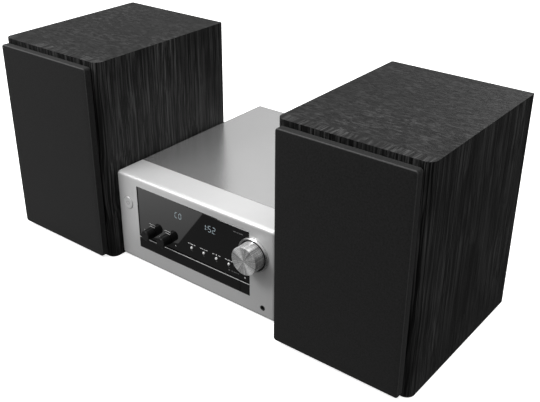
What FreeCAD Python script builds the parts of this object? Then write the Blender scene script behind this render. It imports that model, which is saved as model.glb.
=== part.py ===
import FreeCAD, Part
import math
import os

# Mini hifi system: a CD receiver between two bookshelf loudspeakers.
# Millimetres. Origin on the standing surface at the centre of the whole set,
# fronts towards -Y, +Z up.

V = FreeCAD.Vector

# ---------------------------------------------------------------- the set
HALF_WIDTH = 274.5        # centre line to the outer side of each loudspeaker
GRILLE_FRONT = -142.5     # foremost face of the set
CONNECTOR_REAR = 142.5    # rearmost face, the aerial socket's rim

# ---------------------------------------------------------------- loudspeaker
SPEAKER_W = 156.0
SPEAKER_X = HALF_WIDTH - SPEAKER_W / 2
SPEAKER_H = 238.0
CABINET_FRONT = -132.0
CABINET_REAR = 69.0
PANEL = 12.0              # side, top, bottom and baffle board
BACK_BOARD = 9.0
PAD_H = 0.5               # foot pads
PAD_R = 6.0
PAD_INSET = 15.0
FRONT_EDGE_R = 9.0        # upright front edges of the cabinet
REAR_EDGE_R = 2.0

WOOFER_Z = 85.0
FLANGE_R = 58.0
FLANGE_T = 4.0
FLANGE_HOLE_R = 46.2
WOOFER_HOLE_R = 50.0
ROLL_R = 3.4              # half-roll of the woofer's surround
CONE_R = 38.6
COIL_R = 12.8
BASKET_DEPTH = 33.0
BASKET_T = 2.0
POLE_PLATE_R = 33.0
POLE_PLATE_T = 4.0
MAGNET_R = 36.0
MAGNET_T = 14.0
COIL_GAP = 0.9            # between the coil's former and the iron, each side
DUST_CAP_R = 14.4
DUST_CAP_RISE = 5.0

TWEETER_Z = 185.0
TWEETER_PLATE_R = 30.0
TWEETER_PLATE_T = 3.0
DOME_R = 12.5
DOME_RISE = 4.5
CUP_DEPTH = 20.0

PORT_Z = 185.0
PORT_R = 19.0
PORT_WALL = 2.0
PORT_LENGTH = 75.0
CABLE_Z = 60.0
CABLE_HOLE_R = 2.0
CABLE_NECK_R = 5.0        # of the inlet's rubber, in the back board

WOOFER_PITCH_R = FLANGE_R - 5         # circles the drivers' screws stand on
TWEETER_PITCH_R = TWEETER_PLATE_R - 4
SCREW_PILOT_R = 1.4
SCREW_CLEAR_R = 1.5
SCREW_SEAT_R = 3.1
SCREW_SEAT_DEPTH = 1.4

GRILLE_W = 142.0
GRILLE_Z0 = 4.5
GRILLE_Z1 = 233.2
GRILLE_BACK = -134.0
CLOTH_T = 0.9
GRILLE_BEVEL = 1.6
GRILLE_CORNER_R = 3.2
RAIL_W = 15.0
PEG_X = 58.0
PEG_Z = (20.0, 222.0)
PEG_R = 3.0
PEG_LENGTH = 10.0
RUN = 0.05                # radial clearance of shafts and pegs

# ---------------------------------------------------------------- receiver
MAIN_X0 = -117.5          # left side
MAIN_W = 227.0
MAIN_FRONT = -118.5
MAIN_REAR = 136.0
MAIN_Z0 = 2.5
MAIN_Z1 = 110.6
FASCIA_D = 38.0
FASCIA_T = 4.0
SHELL = 2.5
CORNER_R = 5.0
FRONT_R = 4.5
SHEET = 1.2               # steel sheet of cover, chassis and rear panel
SEAM = 0.4                # between the fascia and the cover
FLOOR_Z = MAIN_Z0 + SHELL # underside of the chassis floor
REAR_PANEL_Y = 133.8
FOOT_R = 9.0
FRONT_FEET = ((25.0, -100.0), (202.0, -100.0))    # under the fascia's wrap
REAR_FEET = ((25.0, 115.0), (202.0, 115.0))       # under the chassis floor

# control panel, x from the receiver's left side
PANEL_X0 = 31.6
PANEL_X1 = 193.5
PANEL_Z0 = 22.9
PANEL_Z1 = 99.9
SPLIT_Z = 37.4            # tray door below, window above
POCKET = 2.6
WINDOW_T = 2.0
WINDOW_GAP = 0.4          # all round the window, in its pocket
WINDOW_BEVEL = 0.9
LEDGE = 3.0
FIT = 0.1
GAP = 0.3                 # between pieces that move past each other

KNOB = (199.1, 75.0)
KNOB_R = 15.6
KNOB_REACH = 16.4
RING_R = 19.2
RING_T = 2.5
BUSH_R = 3.8
SHAFT_R = 3.0
TONE_KNOBS = {"bass_knob": (51.6, 47.8), "treble_knob": (75.6, 47.8)}
TONE_R = 6.3
TONE_REACH = 11.5
TONE_SHAFT_R = 2.0
KEYS = {"skip_back_key": 112.4, "play_key": 129.9, "stop_key": 147.8, "skip_forward_key": 165.2}
KEY_Z = 50.6
KEY_R = 1.5
KEY_STROKE = 0.5
POWER = (16.6, 74.7)
POWER_R = 7.3
POWER_GAP = 0.35
POWER_PROUD = 0.75
JACK = (210.5, 14.8)
JACK_R = 1.8
JACK_DEPTH = 14.0
BOARD_Y = -108.0          # control board behind the front
BOARD_T = 1.6
SWITCH_TIP = -112.0       # where a pressed key's stem meets its switch
BOARD_Z = 15.0            # underside of the boards on the chassis floor
BOARD_PILLARS = ((14, 70), (82, 70), (14, 126), (94, 70), (94, 126), (212, 70), (212, 126))

# disc loader
DOOR_X1 = 180.1
EJECT_X0 = 180.8
TRAY_X = 106.0            # centre line
TRAY_W = 140.0
TRAY_REAR = 50.0
TRAY_Z0 = 23.4
TRAY_FLOOR_Z = 27.0
TRAY_TOP_Z = 31.5
RAIL_TOP_Z = 33.5
DISC_Y = -49.0
DISC_SEAT_R = 61.0
SLOT_HALF = 19.0
TRAY_STROKE = 135.0
MODULE = 1.0
TOOTH_T = 3.1
PINION_TEETH = 16
PINION_Y = -98.0
PRESSURE = math.radians(20.0)
BACKLASH = 0.12           # taken off each flank
RACK_FOOT_X = 39.0
PICKUP_Y = -25.0
ROD_X = 22.0
ROD_Z = 18.0
ROD_R = 1.5

# rear connectors
LEVER_X = (155.0, 167.0, 179.0, 191.0)
LEVER_Y = 132.0
LEVER_Z = 41.1
LEVER_W = 8.0
LEVER_PIN_R = 1.0
BLOCK_X = (146.0, 200.0)
BLOCK_Z = (20.0, 48.0)
BLOCK_FRONT = 127.0
BLOCK_REAR = 138.5
BLOCK_RIM = 2.0
WIRE_Z = 27.0
WIRE_R = 1.6
AERIAL = (110.0, 85.0)
AERIAL_R = 4.75
AERIAL_SHELL_R = 6.0
INLET = (43.0, 27.0)
REAR_SCREWS = ((7.0, 14.0), (220.0, 14.0), (7.0, 101.0), (82.0, 101.0), (140.0, 101.0), (220.0, 101.0))


# ---------------------------------------------------------------- helpers
def box(x0, x1, y0, y1, z0, z1):
    return Part.makeBox(x1 - x0, y1 - y0, z1 - z0, V(x0, y0, z0))


def cyl_y(x, z, r, y0, y1):
    return Part.makeCylinder(r, y1 - y0, V(x, y0, z), V(0, 1, 0))


def cyl_z(x, y, r, z0, z1):
    return Part.makeCylinder(r, z1 - z0, V(x, y, z0), V(0, 0, 1))


def cyl_x(y, z, r, x0, x1):
    return Part.makeCylinder(r, x1 - x0, V(x0, y, z), V(1, 0, 0))


def ring_y(x, z, r_out, r_in, y0, y1):
    return cyl_y(x, z, r_out, y0, y1).cut(cyl_y(x, z, r_in, y0 - 1, y1 + 1))


def fuse(first, *others):
    return first.multiFuse(list(others)).removeSplitter()


def polygon(points):
    return Part.Face(Part.makePolygon(points + points[:1]))


def turned_y(profile, x, z):
    """Turn a closed outline of (radius, y) points about the line through x, z along Y."""
    face = polygon([V(x + r, y, z) for r, y in profile])
    return face.revolve(V(x, 0, z), V(0, 1, 0), 360)


def turned_z(profile, x, y):
    """Turn a closed outline of (radius, z) points about the upright line through x, y."""
    face = polygon([V(x + r, y, z) for r, z in profile])
    return face.revolve(V(x, y, 0), V(0, 0, 1), 360)


def edges_along(shape, direction, keep=lambda centre: True):
    found = []
    for edge in shape.Edges:
        if len(edge.Vertexes) != 2:
            continue
        run = edge.Vertexes[1].Point - edge.Vertexes[0].Point
        if run.cross(direction).Length < 1e-6 and keep(edge.CenterOfMass):
            found.append(edge)
    return found


def edges_at(shape, test):
    """The edges whose every vertex passes a test."""
    return [e for e in shape.Edges if all(test(v.Point) for v in e.Vertexes)]


def mx(x):
    """A place on the receiver, from its left side."""
    return MAIN_X0 + x


def screw_y(x, z, face_y, out, head_r=3.0, head_t=1.3, shank_r=1.4, shank=8.0):
    """A cross-head screw along Y. out is -1 when its head faces the front, 1 for the rear."""
    head_y = sorted((face_y, face_y + out * head_t))
    shank_y = sorted((face_y, face_y - out * shank))
    body = fuse(cyl_y(x, z, head_r, *head_y), cyl_y(x, z, shank_r, *shank_y))
    slot_y = sorted((face_y + out * head_t * 0.3, face_y + out * (head_t + 1)))
    arm = head_r * 0.6
    cross = fuse(box(x - arm, x + arm, *slot_y, z - 0.4, z + 0.4),
                 box(x - 0.4, x + 0.4, *slot_y, z - arm, z + arm))
    return body.cut(cross)


def save(name, *solids):
    shape = solids[0] if len(solids) == 1 else Part.Compound(list(solids))
    shape.exportStep("parts/" + name + ".step")
    print(name, len(shape.Solids), "solids", round(shape.Volume / 1000.0, 2), "cm3")


# ---------------------------------------------------------------- loudspeaker
def cabinet(x):
    half = SPEAKER_W / 2
    shell = box(x - half, x + half, CABINET_FRONT, CABINET_REAR, PAD_H, SPEAKER_H)
    up = V(0, 0, 1)
    shell = shell.makeFillet(FRONT_EDGE_R, edges_along(shell, up, lambda c: c.y < 0))
    shell = shell.makeFillet(REAR_EDGE_R, edges_along(shell, up, lambda c: c.y > CABINET_REAR - 1))
    inner = half - PANEL
    room = box(x - inner, x + inner, CABINET_FRONT - 1, CABINET_REAR + 1,
               PAD_H + PANEL, SPEAKER_H - PANEL)
    return shell.cut(room)


def baffle(x):
    inner = SPEAKER_W / 2 - PANEL
    board = box(x - inner, x + inner, CABINET_FRONT, CABINET_FRONT + PANEL,
                PAD_H + PANEL, SPEAKER_H - PANEL)
    rear = CABINET_FRONT + PANEL + 1
    for z, plate_r, plate_t, hole_r in (
            (WOOFER_Z, FLANGE_R + FIT, FLANGE_T, WOOFER_HOLE_R),
            (TWEETER_Z, TWEETER_PLATE_R + FIT, TWEETER_PLATE_T, TWEETER_PLATE_R - 6)):
        board = board.cut(cyl_y(x, z, plate_r, CABINET_FRONT - 1, CABINET_FRONT + plate_t))
        board = board.cut(cyl_y(x, z, hole_r, CABINET_FRONT, rear))
    for side in (-1, 1):
        for z in PEG_Z:
            board = board.cut(cyl_y(x + side * PEG_X, z, PEG_R + RUN,
                                    CABINET_FRONT - 1, CABINET_FRONT + PEG_LENGTH + 0.5))
    for z, pitch_r in ((WOOFER_Z, WOOFER_PITCH_R), (TWEETER_Z, TWEETER_PITCH_R)):
        for dx, dz in screw_places(pitch_r):
            board = board.cut(cyl_y(x + dx, z + dz, SCREW_PILOT_R, CABINET_FRONT, rear - 2))
    return board


def screw_places(pitch_r):
    quarter = [math.radians(45 + 90 * i) for i in range(4)]
    return [(pitch_r * math.cos(a), pitch_r * math.sin(a)) for a in quarter]


def cut_screw_seats(plate, x, z, pitch_r, face_y):
    """A driver's plate with a clearance hole and a sunk seat for each of its four screws."""
    for dx, dz in screw_places(pitch_r):
        plate = plate.cut(cyl_y(x + dx, z + dz, SCREW_CLEAR_R, face_y - 1, face_y + FLANGE_T + 1))
        plate = plate.cut(cyl_y(x + dx, z + dz, SCREW_SEAT_R, face_y - 1, face_y + SCREW_SEAT_DEPTH))
    return plate


def driver_screws(x, z, pitch_r, face_y):
    seat_y = face_y + SCREW_SEAT_DEPTH
    return [screw_y(x + dx, z + dz, seat_y, -1, shank=8.5) for dx, dz in screw_places(pitch_r)]


def back_panel(x):
    inner = SPEAKER_W / 2 - PANEL
    board = box(x - inner, x + inner, CABINET_REAR - BACK_BOARD, CABINET_REAR,
                PAD_H + PANEL, SPEAKER_H - PANEL)
    board = board.cut(cyl_y(x, PORT_Z, PORT_R + PORT_WALL, 0, CABINET_REAR + 1))
    return board.cut(cyl_y(x, CABLE_Z, CABLE_NECK_R, 0, CABINET_REAR + 1))


def woofer_frame(x):
    """Pressed basket with four windows, magnet ring, plates, pole and four screws."""
    y = CABINET_FRONT
    seat_y = y + BASKET_DEPTH
    plate_y = seat_y + BASKET_T
    magnet_y = plate_y + POLE_PLATE_T
    yoke_y = magnet_y + MAGNET_T
    basket = turned_y([(FLANGE_HOLE_R, y), (FLANGE_R, y), (FLANGE_R, y + FLANGE_T),
                       (WOOFER_HOLE_R - 0.6, y + FLANGE_T), (MAGNET_R, seat_y), (MAGNET_R, plate_y),
                       (COIL_R + 2, plate_y), (COIL_R + 2, seat_y), (POLE_PLATE_R, seat_y),
                       (FLANGE_HOLE_R, y + FLANGE_T + BASKET_T)], x, WOOFER_Z)
    for angle in (0, 90, 180, 270):
        window = box(x - 12, x + 12, y + 10, seat_y - 4, WOOFER_Z + 25, WOOFER_Z + 60)
        window.rotate(V(x, 0, WOOFER_Z), V(0, 1, 0), angle)
        basket = basket.cut(window)
    basket = cut_screw_seats(basket, x, WOOFER_Z, WOOFER_PITCH_R, y)
    top_plate = ring_y(x, WOOFER_Z, POLE_PLATE_R, COIL_R + COIL_GAP, plate_y, magnet_y)
    magnet = ring_y(x, WOOFER_Z, MAGNET_R, COIL_R + 4.2, magnet_y, yoke_y)
    yoke = fuse(cyl_y(x, WOOFER_Z, POLE_PLATE_R, yoke_y, yoke_y + POLE_PLATE_T),
                cyl_y(x, WOOFER_Z, COIL_R - COIL_GAP, seat_y + 1, yoke_y))
    return [basket, top_plate, magnet, yoke] + driver_screws(x, WOOFER_Z, WOOFER_PITCH_R, y)


def hollow_cap(x, z, rim_y, r, rise, wall):
    """A thin cap of a ball that bulges forwards from its rim."""
    ball_r = (r * r + rise * rise) / (2 * rise)
    centre = V(x, rim_y - rise + ball_r, z)
    shell = Part.makeSphere(ball_r, centre).cut(Part.makeSphere(ball_r - wall, centre))
    return shell.common(cyl_y(x, z, r, rim_y - 2 * rise, rim_y))


def woofer_cone(x):
    """Cone with its coil former, dust cap and spider."""
    y = CABINET_FRONT + 2.4
    neck_y = y + 18
    cone = turned_y([(CONE_R, y), (CONE_R, y + 1.2), (COIL_R + 0.4, neck_y + 1.2),
                     (COIL_R + 0.2, neck_y + 20), (COIL_R - 0.2, neck_y + 20),
                     (COIL_R - 0.2, neck_y)], x, WOOFER_Z)
    cap_y = neck_y - 1.4
    cap = hollow_cap(x, WOOFER_Z, cap_y, DUST_CAP_R, DUST_CAP_RISE, 0.8).cut(cone)
    spider_y = neck_y + 6
    spider = turned_y([(COIL_R + 0.45, spider_y), (30, spider_y), (30, spider_y + 0.6),
                       (COIL_R + 0.45, spider_y + 0.6)], x, WOOFER_Z)
    return [cone, cap, spider]


def woofer_surround(x):
    y = CABINET_FRONT + 2.4
    middle = CONE_R + ROLL_R + 0.2
    roll = Part.makeTorus(middle, ROLL_R, V(x, y, WOOFER_Z), V(0, 1, 0))
    roll = roll.cut(Part.makeTorus(middle, ROLL_R - 0.9, V(x, y, WOOFER_Z), V(0, 1, 0)))
    return roll.cut(cyl_y(x, WOOFER_Z, FLANGE_R, y, y + 10))


def tweeter_unit(x):
    """Shallow horn plate, rear cup, crossover capacitor and four screws."""
    y = CABINET_FRONT
    cup_y = y + CUP_DEPTH
    cup_r = TWEETER_PLATE_R - 6.4
    well_r = DOME_R + 1.6
    plate = turned_y([(well_r, y + 2.4), (DOME_R + 6, y + 1.2), (TWEETER_PLATE_R - 9, y),
                      (TWEETER_PLATE_R, y), (TWEETER_PLATE_R, y + TWEETER_PLATE_T),
                      (cup_r, y + TWEETER_PLATE_T), (cup_r, cup_y), (0, cup_y), (0, cup_y - 6),
                      (well_r, cup_y - 6)], x, TWEETER_Z)
    plate = cut_screw_seats(plate, x, TWEETER_Z, TWEETER_PITCH_R, y)
    capacitor = cyl_x(cup_y + 6.2, TWEETER_Z, 6.0, x - 11, x + 11)
    cradle = box(x - 8, x + 8, cup_y, cup_y + 6, TWEETER_Z - 4, TWEETER_Z + 4).cut(capacitor)
    return [fuse(plate, cradle), capacitor] + driver_screws(x, TWEETER_Z, TWEETER_PITCH_R, y)


def tweeter_dome(x):
    y = CABINET_FRONT + 6.5
    dome = hollow_cap(x, TWEETER_Z, y, DOME_R, DOME_RISE, 0.6)
    return fuse(dome, ring_y(x, TWEETER_Z, DOME_R, DOME_R - 0.7, y, y + 5))


def port_tube(x):
    rear = CABINET_REAR
    outer = PORT_R + PORT_WALL
    return turned_y([(PORT_R, rear - PORT_LENGTH), (outer, rear - PORT_LENGTH), (outer, rear),
                     (outer + 5, rear), (outer + 4, rear + 1.5), (PORT_R + 2, rear + 1.5),
                     (PORT_R, rear - 2)], x, PORT_Z)


def cable_inlet(x):
    """Rubber grommet that the loudspeaker's lead leaves through."""
    rear = CABINET_REAR
    inner = rear - BACK_BOARD
    return turned_y([(CABLE_HOLE_R, inner - 2), (CABLE_NECK_R + 2, inner - 2), (CABLE_NECK_R + 2, inner),
                     (CABLE_NECK_R, inner), (CABLE_NECK_R, rear), (CABLE_NECK_R + 3, rear),
                     (CABLE_NECK_R + 0.5, rear + 4), (CABLE_HOLE_R, rear + 4)], x, CABLE_Z)


def speaker_feet(x):
    reach = SPEAKER_W / 2 - PAD_INSET
    pads = []
    for dx in (-reach, reach):
        for y in (CABINET_FRONT + PAD_INSET, CABINET_REAR - PAD_INSET):
            pads.append(turned_z([(0, 0), (PAD_R - 0.3, 0), (PAD_R, 0.3), (PAD_R, PAD_H), (0, PAD_H)],
                                 x + dx, y))
    return pads


def bevelled_block(x, inset, y0, y1, bevel):
    """A block of the grille's outline, pulled in by inset, with its front edges bevelled."""
    half = GRILLE_W / 2 - inset
    block = box(x - half, x + half, y0, y1, GRILLE_Z0 + inset, GRILLE_Z1 - inset)
    block = block.makeFillet(GRILLE_CORNER_R - inset, edges_along(block, V(0, 1, 0)))
    return block.makeChamfer(bevel, edges_at(block, lambda p: abs(p.y - y0) < 1e-6))


def grille_frame(x):
    y0 = GRILLE_FRONT + CLOTH_T
    frame = bevelled_block(x, CLOTH_T, y0, GRILLE_BACK, GRILLE_BEVEL)
    half = GRILLE_W / 2 - RAIL_W
    middle_z = 0.5 * (WOOFER_Z + FLANGE_R + TWEETER_Z - TWEETER_PLATE_R)
    for z0, z1 in ((GRILLE_Z0 + RAIL_W, middle_z - 4), (middle_z + 4, GRILLE_Z1 - RAIL_W)):
        window = box(x - half, x + half, y0 - 1, GRILLE_BACK + 1, z0, z1)
        frame = frame.cut(window.makeFillet(8.0, edges_along(window, V(0, 1, 0))))
    pegs = []
    for side in (-1, 1):
        for z in PEG_Z:
            peg_end = GRILLE_BACK + PEG_LENGTH
            peg = turned_y([(0, GRILLE_BACK - 1), (PEG_R, GRILLE_BACK - 1), (PEG_R, peg_end - 1),
                            (PEG_R - 1, peg_end), (0, peg_end)], x + side * PEG_X, z)
            pegs.append(peg)
    return fuse(frame, *pegs)


def grille_cloth(x):
    cloth = bevelled_block(x, 0.0, GRILLE_FRONT, GRILLE_BACK, GRILLE_BEVEL)
    room = bevelled_block(x, CLOTH_T, GRILLE_FRONT + CLOTH_T, GRILLE_BACK + 1, GRILLE_BEVEL)
    return cloth.cut(room)


def loudspeaker(side, x):
    save(side + "_cabinet", cabinet(x))
    save(side + "_baffle", baffle(x))
    save(side + "_back_panel", back_panel(x))
    save(side + "_woofer_frame", *woofer_frame(x))
    save(side + "_woofer_cone", *woofer_cone(x))
    save(side + "_woofer_surround", woofer_surround(x))
    save(side + "_tweeter_unit", *tweeter_unit(x))
    save(side + "_tweeter_dome", tweeter_dome(x))
    save(side + "_port_tube", port_tube(x))
    save(side + "_cable_inlet", cable_inlet(x))
    save(side + "_feet", *speaker_feet(x))
    save(side + "_grille_frame", grille_frame(x))
    save(side + "_grille_cloth", grille_cloth(x))


# ---------------------------------------------------------------- receiver casing
def rounded_bar(x0, x1, y0, y1, z0, z1, r):
    """A bar along Y whose four long edges are rounded."""
    bar = box(x0, x1, y0, y1, z0, z1)
    return bar.makeFillet(r, edges_along(bar, V(0, 1, 0)))


def front_fascia():
    rear = MAIN_FRONT + FASCIA_D
    shell = rounded_bar(mx(0), mx(MAIN_W), MAIN_FRONT, rear, MAIN_Z0, MAIN_Z1, CORNER_R)
    shell = shell.makeFillet(FRONT_R, edges_at(shell, lambda p: abs(p.y - MAIN_FRONT) < 1e-6))
    room = rounded_bar(mx(SHELL), mx(MAIN_W - SHELL), MAIN_FRONT + FASCIA_T, rear + 1,
                       MAIN_Z0 + SHELL, MAIN_Z1 - SHELL, CORNER_R - SHELL)
    shell = shell.cut(room)
    front = MAIN_FRONT - 1
    back = MAIN_FRONT + FASCIA_T + 1
    shell = shell.cut(box(mx(PANEL_X0), mx(PANEL_X1), front, MAIN_FRONT + POCKET, SPLIT_Z, PANEL_Z1))
    shell = shell.cut(box(mx(PANEL_X0 + LEDGE), mx(PANEL_X1 - LEDGE), front, back,
                          SPLIT_Z + LEDGE, PANEL_Z1 - LEDGE))
    shell = shell.cut(box(mx(PANEL_X0), mx(PANEL_X1), front, back, PANEL_Z0, SPLIT_Z))
    for (x, z), r in ((KNOB, BUSH_R + 0.2), (POWER, POWER_R + POWER_GAP), (JACK, JACK_R + 1.4)):
        shell = shell.cut(cyl_y(mx(x), z, r, front, back))
    return shell


def top_cover():
    y0 = MAIN_FRONT + FASCIA_D + SEAM
    low = MAIN_Z0 + 1.5
    cover = rounded_bar(mx(0), mx(MAIN_W), y0, MAIN_REAR, MAIN_Z0 - 20, MAIN_Z1, CORNER_R)
    room = rounded_bar(mx(SHEET), mx(MAIN_W - SHEET), y0 - 1, MAIN_REAR + 1,
                       MAIN_Z0 - 30, MAIN_Z1 - SHEET, CORNER_R - SHEET)
    cover = cover.cut(room)
    return cover.cut(box(mx(-1), mx(MAIN_W + 1), y0 - 1, MAIN_REAR + 1, MAIN_Z0 - 31, low))


def chassis_base():
    """Folded floor with low side walls, cooling slots and board pillars."""
    y0 = MAIN_FRONT + FASCIA_T + 1
    x0 = mx(SHEET + 0.4)
    x1 = mx(MAIN_W - SHEET - 0.4)
    wall_y0 = MAIN_FRONT + FASCIA_D + 2
    narrow = SHELL + CORNER_R / 2 + 0.5
    floor = fuse(box(x0, x1, wall_y0, REAR_PANEL_Y, FLOOR_Z, FLOOR_Z + SHEET),
                 box(mx(narrow), mx(MAIN_W - narrow), y0, wall_y0, FLOOR_Z, FLOOR_Z + SHEET))
    walls = [box(x0, x0 + SHEET, wall_y0, REAR_PANEL_Y, FLOOR_Z, FLOOR_Z + 14),
             box(x1 - SHEET, x1, wall_y0, REAR_PANEL_Y, FLOOR_Z, FLOOR_Z + 14)]
    pillars = []
    for x, y in BOARD_PILLARS:
        pillars.append(cyl_z(mx(x), y, 3.0, FLOOR_Z + SHEET, BOARD_Z))
    base = fuse(floor, *walls, *pillars)
    for column in range(7):
        for row in range(3):
            x = mx(24 + column * 28)
            y = 72 + row * 16
            slot = box(x - 9, x + 9, y - 1.5, y + 1.5, FLOOR_Z - 1, FLOOR_Z + SHEET + 0.5)
            base = base.cut(slot.makeFillet(1.4, edges_along(slot, V(0, 0, 1))))
    return base


def rear_panel():
    plate = rounded_bar(mx(SHEET + 0.3), mx(MAIN_W - SHEET - 0.3), REAR_PANEL_Y, REAR_PANEL_Y + SHEET,
                        FLOOR_Z, MAIN_Z1 - SHEET - 0.3, CORNER_R - SHEET - 0.3)
    y0 = REAR_PANEL_Y - 1
    y1 = MAIN_REAR
    plate = plate.cut(box(mx(BLOCK_X[0]), mx(BLOCK_X[1]), y0, y1, *BLOCK_Z))
    plate = plate.cut(cyl_y(mx(AERIAL[0]), AERIAL[1], AERIAL_SHELL_R, y0, y1))
    plate = plate.cut(box(mx(INLET[0] - 13), mx(INLET[0] + 13), y0, y1, INLET[1] - 10, INLET[1] + 10))
    for x, z in REAR_SCREWS:
        plate = plate.cut(cyl_y(mx(x), z, SCREW_CLEAR_R, y0, y1))
    for index in range(9):
        x = mx(24 + index * 8)
        slot = box(x - 1.5, x + 1.5, y0, y1, 62, 92)
        plate = plate.cut(slot.makeFillet(1.4, edges_along(slot, V(0, 1, 0))))
    return plate


def display_window():
    y0 = MAIN_FRONT + POCKET - WINDOW_T
    window = box(mx(PANEL_X0 + WINDOW_GAP), mx(PANEL_X1 - WINDOW_GAP), y0, y0 + WINDOW_T,
                 SPLIT_Z + FIT, PANEL_Z1 - WINDOW_GAP)
    window = window.makeChamfer(WINDOW_BEVEL, edges_at(window, lambda p: abs(p.y - y0) < 1e-6))
    for x, z in TONE_KNOBS.values():
        window = window.cut(cyl_y(mx(x), z, TONE_SHAFT_R + 0.3, y0 - 1, y0 + WINDOW_T + 1))
    for x in KEYS.values():
        window = window.cut(cyl_y(mx(x), KEY_Z, KEY_R + 0.15, y0 - 1, y0 + WINDOW_T + 1))
    return window


# ---------------------------------------------------------------- boards
def tact_switch(x, z):
    return fuse(box(mx(x) - 3, mx(x) + 3, SWITCH_TIP + 1.0, BOARD_Y, z - 3, z + 3),
                cyl_y(mx(x), z, 1.2, SWITCH_TIP + 0.1, SWITCH_TIP + 1.5))


def front_board():
    """Control board: display block, encoder, tone pots and switches."""
    board = fuse(box(mx(8), mx(219), BOARD_Y, BOARD_Y + BOARD_T, 42, 105),
                 box(mx(182), mx(219), BOARD_Y, BOARD_Y + BOARD_T, 22, 42))
    display = box(mx(84), mx(156), -114.0, BOARD_Y, 74, 94)
    x, z = KNOB
    encoder = fuse(box(mx(x) - 7, mx(x) + 7, -114.0, BOARD_Y, z - 7, z + 7),
                   cyl_y(mx(x), z, BUSH_R, MAIN_FRONT - 2, -113.0))
    encoder = encoder.cut(cyl_y(mx(x), z, SHAFT_R + RUN, MAIN_FRONT - 3, BOARD_Y - 1.0))
    pots = []
    for x, z in TONE_KNOBS.values():
        pot = box(mx(x) - 5, mx(x) + 5, -114.0, BOARD_Y, z - 5, z + 5)
        pots.append(pot.cut(cyl_y(mx(x), z, TONE_SHAFT_R + RUN, -116, BOARD_Y - 1.0)))
    switches = [tact_switch(x, KEY_Z) for x in KEYS.values()]
    switches.append(tact_switch(*POWER))
    switches.append(tact_switch(0.5 * (EJECT_X0 + PANEL_X1), 30.0))
    ribbon_plug = box(mx(150), mx(176), BOARD_Y + BOARD_T, BOARD_Y + BOARD_T + 5, 92, 98)
    return [board, display, encoder, ribbon_plug] + pots + switches


def finned_block(x0, x1, y0, y1, z0, z1, fins):
    """A heat sink with upright fins across X."""
    block = box(x0, x1, y0, y1, z0, z1)
    pitch = (x1 - x0) / fins
    for index in range(fins):
        x = x0 + (index + 0.5) * pitch
        block = block.cut(box(x - pitch * 0.28, x + pitch * 0.28, y0 + 4, y1 + 1, z0 - 1, z1 + 1))
    return block


def main_board():
    z = BOARD_Z + BOARD_T
    board = box(mx(88), mx(216), 66, 125, BOARD_Z, z)
    sink = finned_block(mx(110), mx(170), 78, 104, z, z + 38, 10)
    chips = [box(mx(x) - 7, mx(x) + 7, y - 7, y + 7, z, z + 2) for x, y in ((98, 90), (190, 90))]
    cans = [cyl_z(mx(x), y, 6.3, z, z + 22) for x, y in ((182, 112), (200, 112), (204, 76))]
    plug = box(mx(96), mx(118), 110, 118, z, z + 9)
    return [board, sink, plug] + chips + cans


def power_board():
    z = BOARD_Z + BOARD_T
    board = box(mx(8), mx(86), 66, 108, BOARD_Z, z)
    transformer = fuse(box(mx(40), mx(72), 74, 100, z, z + 8),
                       box(mx(44), mx(68), 70, 104, z + 8, z + 24),
                       box(mx(40), mx(72), 74, 100, z + 24, z + 30))
    reservoir = cyl_z(mx(22), 82, 9.0, z, z + 32)
    choke = turned_z([(3.5, z), (7, z), (7, z + 7), (3.5, z + 7)], mx(22), 99)
    fuse_holder = box(mx(76), mx(84), 70, 90, z, z + 6)
    return [board, transformer, reservoir, choke, fuse_holder]


# ---------------------------------------------------------------- disc loader
def loader_frame():
    """Tray guide, base plate, clamp bridge, pinion axle and the two pickup rods."""
    y0 = -106.0
    y1 = 62.0
    side = TRAY_W / 2 + 1.5
    wall = 3.0
    floor_z = 11.0
    centre = mx(TRAY_X)
    plate = box(centre - side - wall, centre + side + wall, y0, y1, floor_z, floor_z + 2)
    pieces = []
    for sign in (-1, 1):
        outer = sorted((centre + sign * side, centre + sign * (side + wall)))
        lip = sorted((centre + sign * (side - 4), centre + sign * (side + 1)))
        pieces.append(box(*outer, y0, y1, floor_z, 38.0))
        pieces.append(box(*lip, y0, y1, TRAY_Z0 - GAP - 2.2, TRAY_Z0 - GAP))
        pieces.append(box(*lip, y0, y1, RAIL_TOP_Z + GAP, RAIL_TOP_Z + GAP + 1.5))
        for y in (y0 + 8, y1 - 8):
            pieces.append(cyl_z(centre + sign * (side - 6), y, 4.0, FLOOR_Z + SHEET, floor_z + 1))
    bridge = box(centre - side - wall, centre + side + wall, DISC_Y - 17, DISC_Y + 17, 38, 40)
    pieces.append(bridge.cut(cyl_z(centre, DISC_Y, 9.0, 30, 50)))
    pieces.append(cyl_z(pinion_x(), PINION_Y, 1.5, floor_z + 1, TRAY_FLOOR_Z - 0.5))
    rods = []
    blocks = []
    for sign in (-1, 1):
        x = centre + sign * ROD_X
        rods.append(cyl_y(x, ROD_Z, ROD_R, -36, 40))
        for y in (-38, 38):
            blocks.append(box(x - 3, x + 3, y, y + 3, floor_z + 1, ROD_Z + 3.5))
    frame = fuse(plate, *pieces, *blocks)
    for rod in rods:
        frame = frame.cut(rod)
    return [frame] + rods


def pinion_x():
    """Upright axis of the pinion: the rack's pitch line plus the pitch radius."""
    return mx(RACK_FOOT_X) + 1.25 * MODULE + PINION_TEETH * MODULE / 2 + 0.1


def involute(angle):
    return math.tan(angle) - angle


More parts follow.
